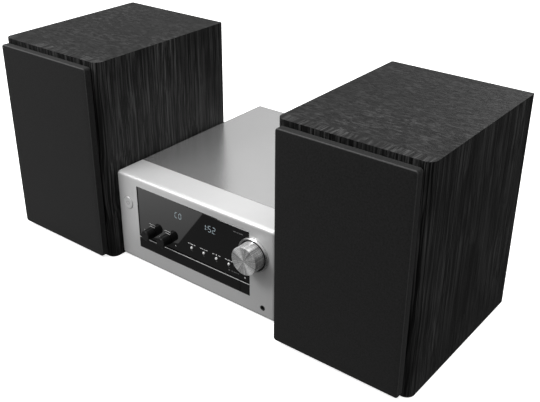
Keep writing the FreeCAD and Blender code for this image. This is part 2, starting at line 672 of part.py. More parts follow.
def tray_pinion():
    pitch_r = PINION_TEETH * MODULE / 2
    base_r = pitch_r * math.cos(PRESSURE)
    tip_r = pitch_r + 0.9 * MODULE
    root_r = pitch_r - 1.25 * MODULE
    half_pitch = math.pi / (2 * PINION_TEETH) - BACKLASH / pitch_r
    flank = [root_r] + [base_r + (tip_r - base_r) * step / 4.0 for step in range(5)]

    def half_angle(r):
        swing = involute(math.acos(base_r / r)) if r > base_r else 0.0
        return half_pitch + involute(PRESSURE) - swing

    outline = []
    for tooth in range(PINION_TEETH):
        middle = math.pi + 2 * math.pi * tooth / PINION_TEETH
        outline += [(r, middle - half_angle(r)) for r in flank]
        outline += [(r, middle + half_angle(r)) for r in reversed(flank)]
    x = pinion_x()
    points = [V(x + r * math.cos(a), PINION_Y + r * math.sin(a), TRAY_Z0) for r, a in outline]
    toothed = polygon(points).extrude(V(0, 0, TOOTH_T))
    hub = cyl_z(x, PINION_Y, 5.0, 13.4, TRAY_Z0)
    pulley = turned_z([(0, 13.4), (9, 13.4), (9, 14.4), (7.6, 15.6), (9, 16.8), (9, 17.8), (0, 17.8)],
                      x, PINION_Y)
    return fuse(toothed, hub, pulley).cut(cyl_z(x, PINION_Y, 1.5 + RUN, 10, 30))


def rack():
    pitch = math.pi * MODULE
    foot = mx(RACK_FOOT_X)
    depth = 2.15 * MODULE
    slope = math.tan(PRESSURE)
    foot_half = pitch / 4 + 1.25 * MODULE * slope - BACKLASH
    tip_half = foot_half - depth * slope
    teeth = []
    for index in range(-2, math.ceil(TRAY_STROKE / pitch) + 3):
        y = PINION_Y + pitch * (index + 0.5)
        tooth = polygon([V(foot - 0.5, y - foot_half, TRAY_Z0), V(foot, y - foot_half, TRAY_Z0),
                         V(foot + depth, y - tip_half, TRAY_Z0), V(foot + depth, y + tip_half, TRAY_Z0),
                         V(foot, y + foot_half, TRAY_Z0), V(foot - 0.5, y + foot_half, TRAY_Z0)])
        teeth.append(tooth.extrude(V(0, 0, TOOTH_T)))
    return teeth


def disc_tray():
    centre = mx(TRAY_X)
    half = TRAY_W / 2
    y0 = MAIN_FRONT + 3.0
    plate = box(centre - half, centre + half, y0, TRAY_REAR, TRAY_FLOOR_Z, TRAY_TOP_Z)
    plate = plate.cut(cyl_z(centre, DISC_Y, DISC_SEAT_R, TRAY_FLOOR_Z + 1.5, TRAY_TOP_Z + 1))
    plate = plate.cut(cyl_z(centre, DISC_Y, 41.0, TRAY_FLOOR_Z + 1.0, TRAY_TOP_Z + 1))
    skirts = []
    for sign in (-1, 1):
        span = sorted((centre + sign * half, centre + sign * (half - 3)))
        skirts.append(box(*span, y0, TRAY_REAR, TRAY_Z0, RAIL_TOP_Z))
    lip = box(centre - half, centre + half, y0, y0 + 3, TRAY_Z0, RAIL_TOP_Z)
    tray = fuse(plate, lip, *skirts, *rack())
    tray = tray.cut(cyl_z(centre, DISC_Y, SLOT_HALF, 10, 40))
    return tray.cut(box(centre - SLOT_HALF, centre + SLOT_HALF, DISC_Y, TRAY_REAR + 1, 10, 40))


def tray_door():
    y0 = MAIN_FRONT + 0.3
    door = box(mx(PANEL_X0 + GAP), mx(DOOR_X1), y0, y0 + 2.7, PANEL_Z0 + GAP, SPLIT_Z - GAP)
    trim = box(mx(PANEL_X0 + GAP), mx(DOOR_X1), y0 - 0.5, y0 + 1, SPLIT_Z - GAP - 0.9, SPLIT_Z - GAP)
    return fuse(door, trim)


def optical_pickup():
    centre = mx(TRAY_X)
    y0 = PICKUP_Y - 9
    y1 = PICKUP_Y + 17
    body = box(centre - 17, centre + 17, y0, y1, 14.5, 22.5)
    body = body.makeFillet(2.0, edges_along(body, V(0, 0, 1)))
    ears = box(centre - ROD_X - 3, centre + ROD_X + 3, y0 + 4, y1 - 4, 14.8, 21.2)
    lens = turned_z([(0, 22), (5.5, 22), (5.5, 23.6), (3.6, 24.2), (2.4, 25.4), (0, 25.8)], centre, PICKUP_Y)
    pickup = fuse(body, ears, lens)
    for sign in (-1, 1):
        pickup = pickup.cut(cyl_y(centre + sign * ROD_X, ROD_Z, ROD_R + RUN, y0 - 1, y1 + 1))
    return pickup


def turntable_hub():
    return turned_z([(0, 15.0), (1.0, 15.0), (1.0, 25.0), (6.0, 25.0), (6.0, 28.6), (15.0, 28.6),
                     (15.0, 30.5), (7.4, 30.5), (6.6, 32.0), (0, 32.0)], mx(TRAY_X), DISC_Y)


def disc_clamp():
    return turned_z([(0, 32.0), (14.0, 32.0), (14.0, 34.5), (11.0, 35.6), (8.0, 35.6), (8.0, 41.0),
                     (11.5, 41.0), (11.5, 42.6), (0, 42.6)], mx(TRAY_X), DISC_Y)


def cd_motors():
    """Spindle, loading and pickup motors on the loader's base plate."""
    centre = mx(TRAY_X)
    spindle = cyl_z(centre, DISC_Y, 11.5, 13.0, 24.0).cut(cyl_z(centre, DISC_Y, 1.0 + RUN, 14.5, 25.0))
    loading = fuse(cyl_z(mx(74), PINION_Y + 4, 10.0, 13.0, 21.5),
                   cyl_z(mx(74), PINION_Y + 4, 3.0, 21.5, 23.5))
    feed = cyl_y(mx(140), ROD_Z + 1.5, 6.0, -30, -8)
    saddle = box(mx(140) - 6, mx(140) + 6, -26, -12, 13.0, ROD_Z + 1.5).cut(feed)
    return [spindle, loading, feed, saddle]


# ---------------------------------------------------------------- controls
def knob_ring():
    x, z = KNOB
    hole_r = BUSH_R + 0.2
    tray_y = MAIN_FRONT - 1.8
    rim_y = MAIN_FRONT - RING_T
    return turned_y([(hole_r, MAIN_FRONT), (hole_r, tray_y), (KNOB_R + 1.2, tray_y), (KNOB_R + 1.8, rim_y),
                     (RING_R - 0.9, rim_y), (RING_R, rim_y + 0.9), (RING_R, MAIN_FRONT)], mx(x), z)


def volume_knob():
    x, z = KNOB
    face = MAIN_FRONT - KNOB_REACH
    skirt = MAIN_FRONT - 2.2
    shaft_end = BOARD_Y - 1.4
    return turned_y([(0, face), (KNOB_R - 0.5, face), (KNOB_R, face + 0.5), (KNOB_R, skirt),
                     (KNOB_R - 2, skirt), (KNOB_R - 2, face + 4), (6, face + 4), (6, skirt - 1),
                     (SHAFT_R, skirt - 1), (SHAFT_R, shaft_end), (0, shaft_end)], mx(x), z)


def tone_knob(x, z):
    window_y = MAIN_FRONT + POCKET - WINDOW_T
    face = window_y - TONE_REACH
    skirt = window_y - GAP
    knob = turned_y([(0, face), (TONE_R - 0.9, face), (TONE_R - 0.3, face + 0.6), (TONE_R, skirt),
                     (TONE_R - 1.6, skirt), (TONE_R - 1.6, skirt - 4), (TONE_SHAFT_R, skirt - 4),
                     (TONE_SHAFT_R, BOARD_Y - 1.4), (0, BOARD_Y - 1.4)], mx(x), z)
    pointer = box(mx(x) - 0.4, mx(x) + 0.4, face - 1, face + 0.3, z + 1.5, z + TONE_R + 1)
    return knob.cut(pointer)


def panel_key(x):
    window_y = MAIN_FRONT + POCKET - WINDOW_T
    return turned_y([(0, window_y - 1.2), (KEY_R - 0.4, window_y - 1.2), (KEY_R, window_y - 0.8),
                     (KEY_R, window_y + WINDOW_T + GAP), (KEY_R + 1.1, window_y + WINDOW_T + GAP),
                     (KEY_R + 1.1, window_y + WINDOW_T + 1.2), (1.0, window_y + WINDOW_T + 1.2),
                     (1.0, SWITCH_TIP - KEY_STROKE), (0, SWITCH_TIP - KEY_STROKE)], mx(x), KEY_Z)


def power_button():
    x, z = POWER
    back = MAIN_FRONT + FASCIA_T + GAP
    face = MAIN_FRONT - POWER_PROUD
    stem_r = 1.2
    stem_end = SWITCH_TIP - KEY_STROKE
    return turned_y([(0, face + 0.2), (POWER_R - 2.2, face + 0.2), (POWER_R - 1.6, face),
                     (POWER_R - 0.5, face), (POWER_R, face + 0.5), (POWER_R, back),
                     (POWER_R + 1.5, back), (POWER_R + 1.5, back + 1), (stem_r, back + 1),
                     (stem_r, stem_end), (0, stem_end)], mx(x), z)


def eject_key():
    y0 = MAIN_FRONT + 0.3
    back = MAIN_FRONT + FASCIA_T + GAP
    x0 = mx(EJECT_X0)
    x1 = mx(PANEL_X1 - GAP)
    key = box(x0, x1, y0, back + 1.0, PANEL_Z0 + GAP, SPLIT_Z - GAP)
    trim = box(x0, x1, y0 - 0.5, y0 + 1, SPLIT_Z - GAP - 0.9, SPLIT_Z - GAP)
    hook = box(x1 - 3, x1 + 2.5, back, back + 1.0, PANEL_Z0 + 2, SPLIT_Z - 2)
    stem = cyl_y(0.5 * (x0 + mx(PANEL_X1)), 30.0, 1.2, back, SWITCH_TIP - KEY_STROKE)
    return fuse(key, trim, hook, stem)


def headphone_jack():
    x, z = JACK
    body = box(mx(x) - 6, mx(x) + 6, MAIN_FRONT + FASCIA_T, MAIN_FRONT + 20, z - 6, z + 6)
    nose = cyl_y(mx(x), z, JACK_R + 1.2, MAIN_FRONT + 0.2, MAIN_FRONT + FASCIA_T)
    hole = cyl_y(mx(x), z, JACK_R, MAIN_FRONT, MAIN_FRONT + 0.2 + JACK_DEPTH)
    return fuse(body, nose).cut(hole)


# ---------------------------------------------------------------- rear connectors
def terminal_block():
    x0 = mx(BLOCK_X[0])
    x1 = mx(BLOCK_X[1])
    z0, z1 = BLOCK_Z
    rim_y = REAR_PANEL_Y + SHEET
    block = fuse(box(x0, x1, BLOCK_FRONT, BLOCK_REAR, z0, z1),
                 box(x0 - BLOCK_RIM, x1 + BLOCK_RIM, rim_y, rim_y + 1.5, z0 - BLOCK_RIM, z1 + BLOCK_RIM))
    half = LEVER_W / 2 + GAP
    for x in LEVER_X:
        block = block.cut(box(mx(x) - half, mx(x) + half, LEVER_Y - 3, BLOCK_REAR + 1, z0 + 13, z1 - 2))
        block = block.cut(cyl_y(mx(x), WIRE_Z, WIRE_R, BLOCK_FRONT - 1, BLOCK_REAR + 1))
    return block.cut(cyl_x(LEVER_Y, LEVER_Z, LEVER_PIN_R + RUN, x0 + 2, x1 - 2))


def aerial_socket():
    x, z = AERIAL
    y = CONNECTOR_REAR
    flange_r = AERIAL_SHELL_R + 2
    return turned_y([(0, y - 11), (flange_r, y - 11), (flange_r, REAR_PANEL_Y),
                     (AERIAL_SHELL_R, REAR_PANEL_Y), (AERIAL_SHELL_R, y), (AERIAL_R, y),
                     (AERIAL_R, y - 8), (1.2, y - 8), (1.2, y - 10), (0, y - 10)], mx(x), z)


def mains_inlet():
    x, z = INLET
    rear = REAR_PANEL_Y + SHEET + 1.5
    body = fuse(box(mx(x) - 13, mx(x) + 13, rear - 22, rear - 1, z - 10, z + 10),
                box(mx(x) - 15, mx(x) + 15, rear - 1.5, rear, z - 12, z + 12))
    recess = box(mx(x) - 8.8, mx(x) + 8.8, rear - 14, rear + 1, z - 4.8, z + 4.8)
    body = body.cut(recess.makeFillet(4.6, edges_along(recess, V(0, 1, 0))))
    pins = [cyl_y(mx(x) + dx, z, 1.2, rear - 16, rear - 4) for dx in (-4.3, 4.3)]
    return fuse(body, *pins)


def terminal_lever(x):
    half = LEVER_W / 2
    y0 = LEVER_Y - 1.6
    tip = BLOCK_REAR + 2.3
    arm = box(mx(x) - half, mx(x) + half, y0, tip, LEVER_Z - 1.1, LEVER_Z + 1.1)
    pad = box(mx(x) - half, mx(x) + half, tip - 1.8, tip, LEVER_Z - 2.1, LEVER_Z + 2.6)
    pin = cyl_x(LEVER_Y, LEVER_Z, LEVER_PIN_R, mx(x) - half - 1.6, mx(x) + half + 1.6)
    return fuse(arm, pad, pin)


# ---------------------------------------------------------------- feet and screws
def main_feet():
    places = [(x, y, MAIN_Z0) for x, y in FRONT_FEET] + [(x, y, FLOOR_Z) for x, y in REAR_FEET]
    feet = []
    for x, y, top in places:
        feet.append(turned_z([(0, 1.4), (3.2, 1.4), (3.2, 0), (FOOT_R - 0.8, 0), (FOOT_R, 0.8),
                              (FOOT_R, top), (0, top)], mx(x), y))
    return feet


def main_screws():
    return [screw_y(mx(x), z, REAR_PANEL_Y + SHEET, 1, shank=7.0) for x, z in REAR_SCREWS]


def receiver():
    save("front_fascia", front_fascia())
    save("top_cover", top_cover())
    save("chassis_base", chassis_base())
    save("rear_panel", rear_panel())
    save("display_window", display_window())
    save("front_board", *front_board())
    save("main_board", *main_board())
    save("power_board", *power_board())
    save("loader_frame", *loader_frame())
    save("cd_motors", *cd_motors())
    save("disc_tray", disc_tray())
    save("tray_door", tray_door())
    save("tray_pinion", tray_pinion())
    save("optical_pickup", optical_pickup())
    save("turntable_hub", turntable_hub())
    save("disc_clamp", disc_clamp())
    save("knob_ring", knob_ring())
    save("volume_knob", volume_knob())
    for name, (x, z) in TONE_KNOBS.items():
        save(name, tone_knob(x, z))
    for name, x in KEYS.items():
        save(name, panel_key(x))
    save("power_button", power_button())
    save("eject_key", eject_key())
    save("headphone_jack", headphone_jack())
    save("rear_connectors", terminal_block(), aerial_socket(), mains_inlet())
    for number, x in enumerate(LEVER_X, 1):
        save("terminal_lever_%d" % number, terminal_lever(x))
    save("main_feet", *main_feet())
    save("main_screws", *main_screws())


os.makedirs("parts", exist_ok=True)
loudspeaker("left", -SPEAKER_X)
loudspeaker("right", SPEAKER_X)
receiver()
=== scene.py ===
"""Looks of the mini hifi system: a disc receiver between two bookshelf loudspeakers."""
import math
import bpy
import bmesh
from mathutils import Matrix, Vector

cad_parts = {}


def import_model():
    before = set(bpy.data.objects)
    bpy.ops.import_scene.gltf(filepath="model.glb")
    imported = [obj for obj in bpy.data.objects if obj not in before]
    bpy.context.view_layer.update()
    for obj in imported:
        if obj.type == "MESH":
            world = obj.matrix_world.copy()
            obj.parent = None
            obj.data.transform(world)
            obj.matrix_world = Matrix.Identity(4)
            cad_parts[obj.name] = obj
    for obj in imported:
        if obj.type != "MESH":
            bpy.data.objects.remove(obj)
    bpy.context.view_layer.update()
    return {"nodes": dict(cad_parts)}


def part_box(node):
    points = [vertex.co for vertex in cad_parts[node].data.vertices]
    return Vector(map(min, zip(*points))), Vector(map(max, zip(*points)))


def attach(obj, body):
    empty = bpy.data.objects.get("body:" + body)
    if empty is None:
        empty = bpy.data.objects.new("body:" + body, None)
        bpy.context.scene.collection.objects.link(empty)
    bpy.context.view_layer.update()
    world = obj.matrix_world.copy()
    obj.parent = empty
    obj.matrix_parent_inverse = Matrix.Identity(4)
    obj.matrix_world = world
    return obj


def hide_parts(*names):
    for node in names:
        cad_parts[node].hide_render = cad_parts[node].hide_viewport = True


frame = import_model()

NODES = frame["nodes"]
MM = 0.001
SIDES = ("left", "right")

# Fronts face -Y, so each side is named as seen from the front.
FASCIA_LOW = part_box("front_fascia")[0]
WINDOW_LOW, WINDOW_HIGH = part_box("display_window")
DOOR_LOW, DOOR_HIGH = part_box("tray_door")
KNOB_LOW, KNOB_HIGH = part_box("volume_knob")
CABINET_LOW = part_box("left_cabinet")[0]
PANEL_Y = WINDOW_LOW.y
MAIN_X = FASCIA_LOW.x
KNOB_CENTRE = (KNOB_LOW + KNOB_HIGH) / 2
KNOB_R = (KNOB_HIGH.x - KNOB_LOW.x) / 2
TRANSPORT_KEYS = ("skip_back_key", "play_key", "stop_key", "skip_forward_key")


# ---------------------------------------------------------------- node helpers
def new_group(name, inputs, outputs):
    """An empty shader node group with named sockets. Returns the tree and its two end nodes."""
    tree = bpy.data.node_groups.new(name, "ShaderNodeTree")
    for label, kind, value in inputs:
        socket = tree.interface.new_socket(label, in_out="INPUT", socket_type=kind)
        if value is not None:
            socket.default_value = value
    for label, kind in outputs:
        tree.interface.new_socket(label, in_out="OUTPUT", socket_type=kind)
    return tree, tree.nodes.new("NodeGroupInput"), tree.nodes.new("NodeGroupOutput")


FLOAT = "NodeSocketFloat"
VECTOR = "NodeSocketVector"


def feed(tree, value, socket):
    """Join an output to a socket, or set the socket if value is a plain number or tuple."""
    if isinstance(value, bpy.types.NodeSocket):
        tree.links.new(value, socket)
    else:
        socket.default_value = value


def maths(tree, operation, a, b=0.0, c=0.0):
    """One step of arithmetic."""
    node = tree.nodes.new("ShaderNodeMath")
    node.operation = operation
    for value, socket in zip((a, b, c), node.inputs):
        feed(tree, value, socket)
    return node.outputs[0]


def stretch(tree, vector, scale):
    """The coordinates multiplied axis by axis."""
    node = tree.nodes.new("ShaderNodeVectorMath")
    node.operation = "MULTIPLY"
    feed(tree, vector, node.inputs[0])
    feed(tree, scale, node.inputs[1])
    return node.outputs[0]


def noise(tree, vector, scale, detail=3.0, roughness=0.5, distortion=0.0):
    """Cloudy noise about 0.5, its scale in features per metre."""
    node = tree.nodes.new("ShaderNodeTexNoise")
    feed(tree, vector, node.inputs["Vector"])
    feed(tree, scale, node.inputs["Scale"])
    node.inputs["Detail"].default_value = detail
    node.inputs["Roughness"].default_value = roughness
    node.inputs["Distortion"].default_value = distortion
    return node.outputs["Fac"]


def span(tree, value, low, high, to_low=0.0, to_high=1.0):
    """Carry a value from one range to another, clamped."""
    node = tree.nodes.new("ShaderNodeMapRange")
    for number, socket in zip((value, low, high, to_low, to_high), node.inputs):
        feed(tree, number, socket)
    return node.outputs[0]


def split(tree, vector):
    """A vector's three parts."""
    node = tree.nodes.new("ShaderNodeSeparateXYZ")
    feed(tree, vector, node.inputs[0])
    return node.outputs


def tint(tree, factor, low, high):
    """A colour between two, as a mix of plain RGB values."""
    node = tree.nodes.new("ShaderNodeMix")
    node.data_type = "RGBA"
    feed(tree, factor, node.inputs["Factor"])
    for value, socket in ((low, node.inputs[6]), (high, node.inputs[7])):
        feed(tree, (*value, 1.0) if isinstance(value, tuple) else value, socket)
    return node.outputs[2]


def blend(tree, factor, low, high):
    """A value between two."""
    node = tree.nodes.new("ShaderNodeMix")
    for value, socket in ((factor, "Factor"), (low, 2), (high, 3)):
        feed(tree, value, node.inputs[socket])
    return node.outputs[0]


def grey(level, warmth=0.0):
    """A grey colour, a little red where warmth is above 0."""
    return (level * (1 + warmth), level, level * (1 - warmth))


# ---------------------------------------------------------------- shared effects
def ash_grain_group():
    """Open-pored ash: wandering light streaks and short dark pores, along one axis."""
    tree, given, out = new_group(
        "Ash grain",
        [("Vector", VECTOR, None), ("Along", VECTOR, (1.0, 1.0, 0.03)), ("Streak Scale", FLOAT, 260.0),
         ("Pore Scale", FLOAT, 900.0)],
        [("Streaks", FLOAT), ("Pores", FLOAT), ("Height", FLOAT)])
    lengthened = stretch(tree, given.outputs["Vector"], given.outputs["Along"])
    drift = noise(tree, given.outputs["Vector"], 9.0, 2.0)
    wander = tree.nodes.new("ShaderNodeVectorMath")
    wander.operation = "ADD"
    shift = tree.nodes.new("ShaderNodeCombineXYZ")
    for axis in range(2):
        feed(tree, maths(tree, "MULTIPLY", drift, 0.012), shift.inputs[axis])
    feed(tree, lengthened, wander.inputs[0])
    feed(tree, shift.outputs[0], wander.inputs[1])
    broad = noise(tree, wander.outputs[0], given.outputs["Streak Scale"], 4.0, 0.62, 0.35)
    swell = noise(tree, given.outputs["Vector"], 14.0, 2.0)
    strength = span(tree, swell, 0.35, 0.65, 0.35, 1.0)
    streaks = maths(tree, "MULTIPLY", span(tree, broad, 0.45, 0.64), strength)
    fine = noise(tree, lengthened, given.outputs["Pore Scale"], 2.0, 0.6, 0.2)
    pores = span(tree, fine, 0.36, 0.5, 1.0, 0.0)
    height = maths(tree, "SUBTRACT", maths(tree, "MULTIPLY", streaks, 0.5), pores)
    for label, value in (("Streaks", streaks), ("Pores", pores), ("Height", height)):
        feed(tree, value, out.inputs[label])
    return tree


def handling_group():
    """Slow, faint patches of shine, as a surface has that is wiped and touched."""
    tree, given, out = new_group(
        "Handling", [("Vector", VECTOR, None), ("Roughness", FLOAT, 0.4), ("Amount", FLOAT, 0.06)],
        [("Roughness", FLOAT)])
    cloud = noise(tree, given.outputs["Vector"], 22.0, 5.0, 0.6, 0.4)
    centred = maths(tree, "SUBTRACT", cloud, 0.5)
    swing = maths(tree, "MULTIPLY", centred, maths(tree, "MULTIPLY", given.outputs["Amount"], 2.0))
    feed(tree, maths(tree, "ADD", given.outputs["Roughness"], swing), out.inputs["Roughness"])
    return tree


def fine_grain_group():
    """The sand-fine texture of moulded or powder-painted parts."""
    tree, given, out = new_group(
        "Fine grain", [("Vector", VECTOR, None), ("Scale", FLOAT, 2600.0)],
        [("Height", FLOAT), ("Tone", FLOAT)])
    grains = noise(tree, given.outputs["Vector"], given.outputs["Scale"], 2.0, 0.6)
    cloud = noise(tree, given.outputs["Vector"], 60.0, 3.0, 0.5)
    feed(tree, grains, out.inputs["Height"])
    feed(tree, maths(tree, "MULTIPLY_ADD", grains, 0.35, maths(tree, "MULTIPLY", cloud, 0.65)),
         out.inputs["Tone"])
    return tree


def brushing_group():
    """Fine parallel lines, long along one axis."""
    tree, given, out = new_group(
        "Brushing",
        [("Vector", VECTOR, None), ("Along", VECTOR, (1.0, 0.01, 1.0)), ("Scale", FLOAT, 3200.0)],
        [("Lines", FLOAT)])
    lines = noise(tree, stretch(tree, given.outputs["Vector"], given.outputs["Along"]),
                  given.outputs["Scale"], 3.0, 0.7)
    feed(tree, lines, out.inputs["Lines"])
    return tree


def knit_group():
    """Stretched loudspeaker cloth: two crossed sets of fine ribs, of uneven thread."""
    tree, given, out = new_group(
        "Knit", [("Vector", VECTOR, None), ("Pitch", FLOAT, 0.0009)],
        [("Height", FLOAT), ("Thread", FLOAT)])
    x, y, z = split(tree, given.outputs["Vector"])
    turns = maths(tree, "DIVIDE", 2 * math.pi, given.outputs["Pitch"])
    across = maths(tree, "SINE", maths(tree, "MULTIPLY", maths(tree, "ADD", x, y), turns))
    upward = maths(tree, "SINE", maths(tree, "MULTIPLY", maths(tree, "ADD", z, y), turns))
    ribs = maths(tree, "MULTIPLY", maths(tree, "ADD", across, 1.0), maths(tree, "ADD", upward, 1.0))
    slub = noise(tree, given.outputs["Vector"], 520.0, 3.0, 0.7)
    thread = maths(tree, "MULTIPLY_ADD", ribs, 0.2, span(tree, slub, 0.32, 0.68, 0.0, 0.42))
    feed(tree, maths(tree, "MULTIPLY", ribs, 0.25), out.inputs["Height"])
    feed(tree, thread, out.inputs["Thread"])
    return tree


ASH_GRAIN = ash_grain_group()
HANDLING = handling_group()
FINE_GRAIN = fine_grain_group()
BRUSHING = brushing_group()
KNIT = knit_group()


# ---------------------------------------------------------------- finishes
class Finish:
    """A material being made: its tree, its Principled shader and the object's own coordinates."""

    def __init__(self, name, **sockets):
        self.material = bpy.data.materials.new(name)
        self.material.use_nodes = True
        self.tree = self.material.node_tree
        self.shader = self.tree.nodes["Principled BSDF"]
        self.place = self.tree.nodes.new("ShaderNodeTexCoord").outputs["Object"]
        for label, value in sockets.items():
            self.set(label.replace("_", " "), value)

    def set(self, label, value):
        """Set one of the shader's sockets, or join an output to it."""
        socket = self.shader.inputs[label]
        if isinstance(value, tuple) and len(value) == 3:
            value = (*value, 1.0)
        feed(self.tree, value, socket)

    def use(self, group, **values):
        """Place a shared effect, fed with the object's own coordinates."""
        node = self.tree.nodes.new("ShaderNodeGroup")
        node.node_tree = group
        feed(self.tree, self.place, node.inputs["Vector"])
        for label, value in values.items():
            feed(self.tree, value, node.inputs[label.replace("_", " ")])
        return node.outputs

    def bump(self, height, depth, strength=1.0):
        """Fine relief in the surface, depth in metres."""
        node = self.tree.nodes.new("ShaderNodeBump")
        node.inputs["Strength"].default_value = strength
        node.inputs["Distance"].default_value = depth
        feed(self.tree, height, node.inputs["Height"])
        feed(self.tree, node.outputs["Normal"], self.shader.inputs["Normal"])

    def rub(self, roughness, amount):
        """Roughness with slow patches from handling."""
        self.set("Roughness", self.use(HANDLING, Roughness=roughness, Amount=amount)["Roughness"])


def ash_vinyl():
    """Black ash wrap: upright grain on the walls, short mottled grain on the lid, and a strip of
    cross grain where the front's wrap folds back over the lid's front edge."""
    f = Finish("Black ash wrap", Specular_IOR_Level=0.14)
    wall = f.use(ASH_GRAIN, Along=(1.0, 1.0, 0.013), Streak_Scale=500.0, Pore_Scale=800.0)
    lid = f.use(ASH_GRAIN, Along=(0.40, 1.0, 1.0), Streak_Scale=300.0, Pore_Scale=380.0)
    fold = f.use(ASH_GRAIN, Along=(1.0, 0.06, 0.06), Streak_Scale=330.0, Pore_Scale=620.0)
    normal = f.tree.nodes.new("ShaderNodeTexCoord").outputs["Normal"]
    on_lid = span(f.tree, maths(f.tree, "ABSOLUTE", split(f.tree, normal)[2]), 0.45, 0.55)
    fold_y = CABINET_LOW.y + 11 * MM
    folded = span(f.tree, split(f.tree, f.place)[1], fold_y, fold_y + 1.5 * MM, 1.0, 0.0)
    on_fold = maths(f.tree, "MULTIPLY", on_lid, folded)

    def either(label):
        flat = blend(f.tree, on_lid, wall[label], lid[label])
        return blend(f.tree, on_fold, flat, fold[label])

    streaks = either("Streaks")
    # Painted light: the lid's streaks are painted darker as painted shade against the light on the top,
    # and the folded strip's streaks lighter as a painted highlight on its rounded front edge.
    painted_light_level = blend(f.tree, on_lid, 0.85, blend(f.tree, folded, 0.48, 1.0))
    light = tint(f.tree, maths(f.tree, "MULTIPLY", streaks, painted_light_level), grey(0.0070), grey(0.088))
    f.set("Base Color", tint(f.tree, either("Pores"), light, grey(0.0025)))
    f.set("Roughness", span(f.tree, streaks, 0.0, 1.0, 0.46, 0.60))
    f.bump(either("Height"), 0.00022, 0.75)
    return f.material


def painted_board():
    """Matt black paint over fibreboard, as on the baffles and backs."""
    f = Finish("Black painted board", Specular_IOR_Level=0.35)
    grain = f.use(FINE_GRAIN, Scale=1500.0)
    f.set("Base Color", tint(f.tree, grain["Tone"], grey(0.010), grey(0.022)))
    f.rub(0.62, 0.06)
    f.bump(grain["Height"], 0.0001, 0.5)
    return f.material


def grille_knit():
    """Fine black cloth, with a painted highlight along the frame's top and side front edges."""
    f = Finish("Grille cloth", Specular_IOR_Level=0.15, Roughness=0.85)
    f.shader.inputs["Sheen Weight"].default_value = 0.10
    f.shader.inputs["Sheen Roughness"].default_value = 0.45
    knit = f.use(KNIT, Pitch=0.0011)
    x, y, z = split(f.tree, f.tree.nodes.new("ShaderNodeTexCoord").outputs["Normal"])
    # Painted highlight: the cloth is painted paler where it faces forward and up or sideways, along the
    # frame's top and side front edges; the bottom edge stays dark.
    sideways = maths(f.tree, "MAXIMUM", z, maths(f.tree, "MULTIPLY", maths(f.tree, "ABSOLUTE", x), 0.7))
    forward = maths(f.tree, "MULTIPLY", y, -2.0)
    painted_highlight_mask = span(f.tree, maths(f.tree, "MULTIPLY", sideways, forward), 0.35, 0.95)
    weave = tint(f.tree, knit["Thread"], grey(0.0050), grey(0.0250))
    painted_edge_highlight = tint(f.tree, knit["Thread"], grey(0.050), grey(0.110))
    f.set("Base Color", tint(f.tree, painted_highlight_mask, weave, painted_edge_highlight))
    f.bump(knit["Height"], 0.0002, 0.6)
    return f.material


def silver_paint(name, level, roughness, metal):
    """Metallic silver paint with a sand-fine grain."""
    f = Finish(name, Metallic=metal, Specular_IOR_Level=0.5)
    grain = f.use(FINE_GRAIN, Scale=3400.0)
    f.set("Base Color", tint(f.tree, grain["Tone"], grey(level * 0.96), grey(level * 1.04)))
    f.rub(roughness, 0.03)
    f.bump(grain["Height"], 0.00003, 0.35)
    return f.material


def acrylic():
    """Gloss black panel with a clear hard coat."""
    f = Finish("Black acrylic", Specular_IOR_Level=0.5)
    f.shader.inputs["Coat Weight"].default_value = 0.6
    f.shader.inputs["Coat Roughness"].default_value = 0.02
    grain = f.use(FINE_GRAIN, Scale=300.0)
    f.set("Base Color", tint(f.tree, grain["Tone"], grey(0.0030), grey(0.0048)))
    f.rub(0.05, 0.02)
    return f.material


def moulded(name, tone, roughness=0.5, scale=2200.0, gloss=0.4):
    """Plain moulded or painted surface. tone is a grey level, or the darker of its two colours."""
    f = Finish(name, Specular_IOR_Level=gloss)
    grain = f.use(FINE_GRAIN, Scale=scale)
    low = tone if isinstance(tone, tuple) else grey(tone * 0.85)
    high = tuple(c * 1.3 for c in low)
    f.set("Base Color", tint(f.tree, grain["Tone"], low, high))
    f.rub(roughness, 0.05)
    f.bump(grain["Height"], 0.00006, 0.5)
    return f.material


def brushed_metal(name, level, along, roughness=0.3, scale=3200.0):
    """Bare metal with fine lines, long along the axis whose scale is small."""
    f = Finish(name, Metallic=1.0)
    lines = f.use(BRUSHING, Along=along, Scale=scale)["Lines"]
    f.set("Base Color", tint(f.tree, lines, grey(level * 0.8), grey(min(1.0, level * 1.15))))
    f.set("Roughness", span(f.tree, lines, 0.3, 0.7, roughness * 0.8, roughness * 1.25))
    f.bump(lines, 0.00002, 0.5)
    return f.material


def bright_chrome():
    """Polished plating, as on the pickup's rods."""
    f = Finish("Bright chrome", Metallic=1.0)
    grain = f.use(FINE_GRAIN, Scale=900.0)
    f.set("Base Color", tint(f.tree, grain["Tone"], grey(0.78), grey(0.86)))
    f.rub(0.12, 0.03)
    return f.material


def satin_trim():
    """Pale satin foil of the door's line and the four small keys."""
    f = Finish("Satin trim", Metallic=0.25, Specular_IOR_Level=0.6)
    lines = f.use(BRUSHING, Along=(0.02, 1.0, 1.0), Scale=2600.0)["Lines"]
    f.set("Base Color", tint(f.tree, lines, grey(0.86), grey(0.98)))
    f.rub(0.30, 0.05)
    return f.material


def plated_sheet():
    """Zinc-plated steel with faint spangle."""
    f = Finish("Plated sheet", Metallic=1.0)
    spangle = f.tree.nodes.new("ShaderNodeTexVoronoi")
    feed(f.tree, f.place, spangle.inputs["Vector"])
    spangle.inputs["Scale"].default_value = 140.0
    cells = split(f.tree, spangle.outputs["Color"])[0]
    f.set("Base Color", tint(f.tree, cells, grey(0.46), grey(0.58, 0.01)))
    f.set("Roughness", span(f.tree, cells, 0.0, 1.0, 0.34, 0.46))
    return f.material


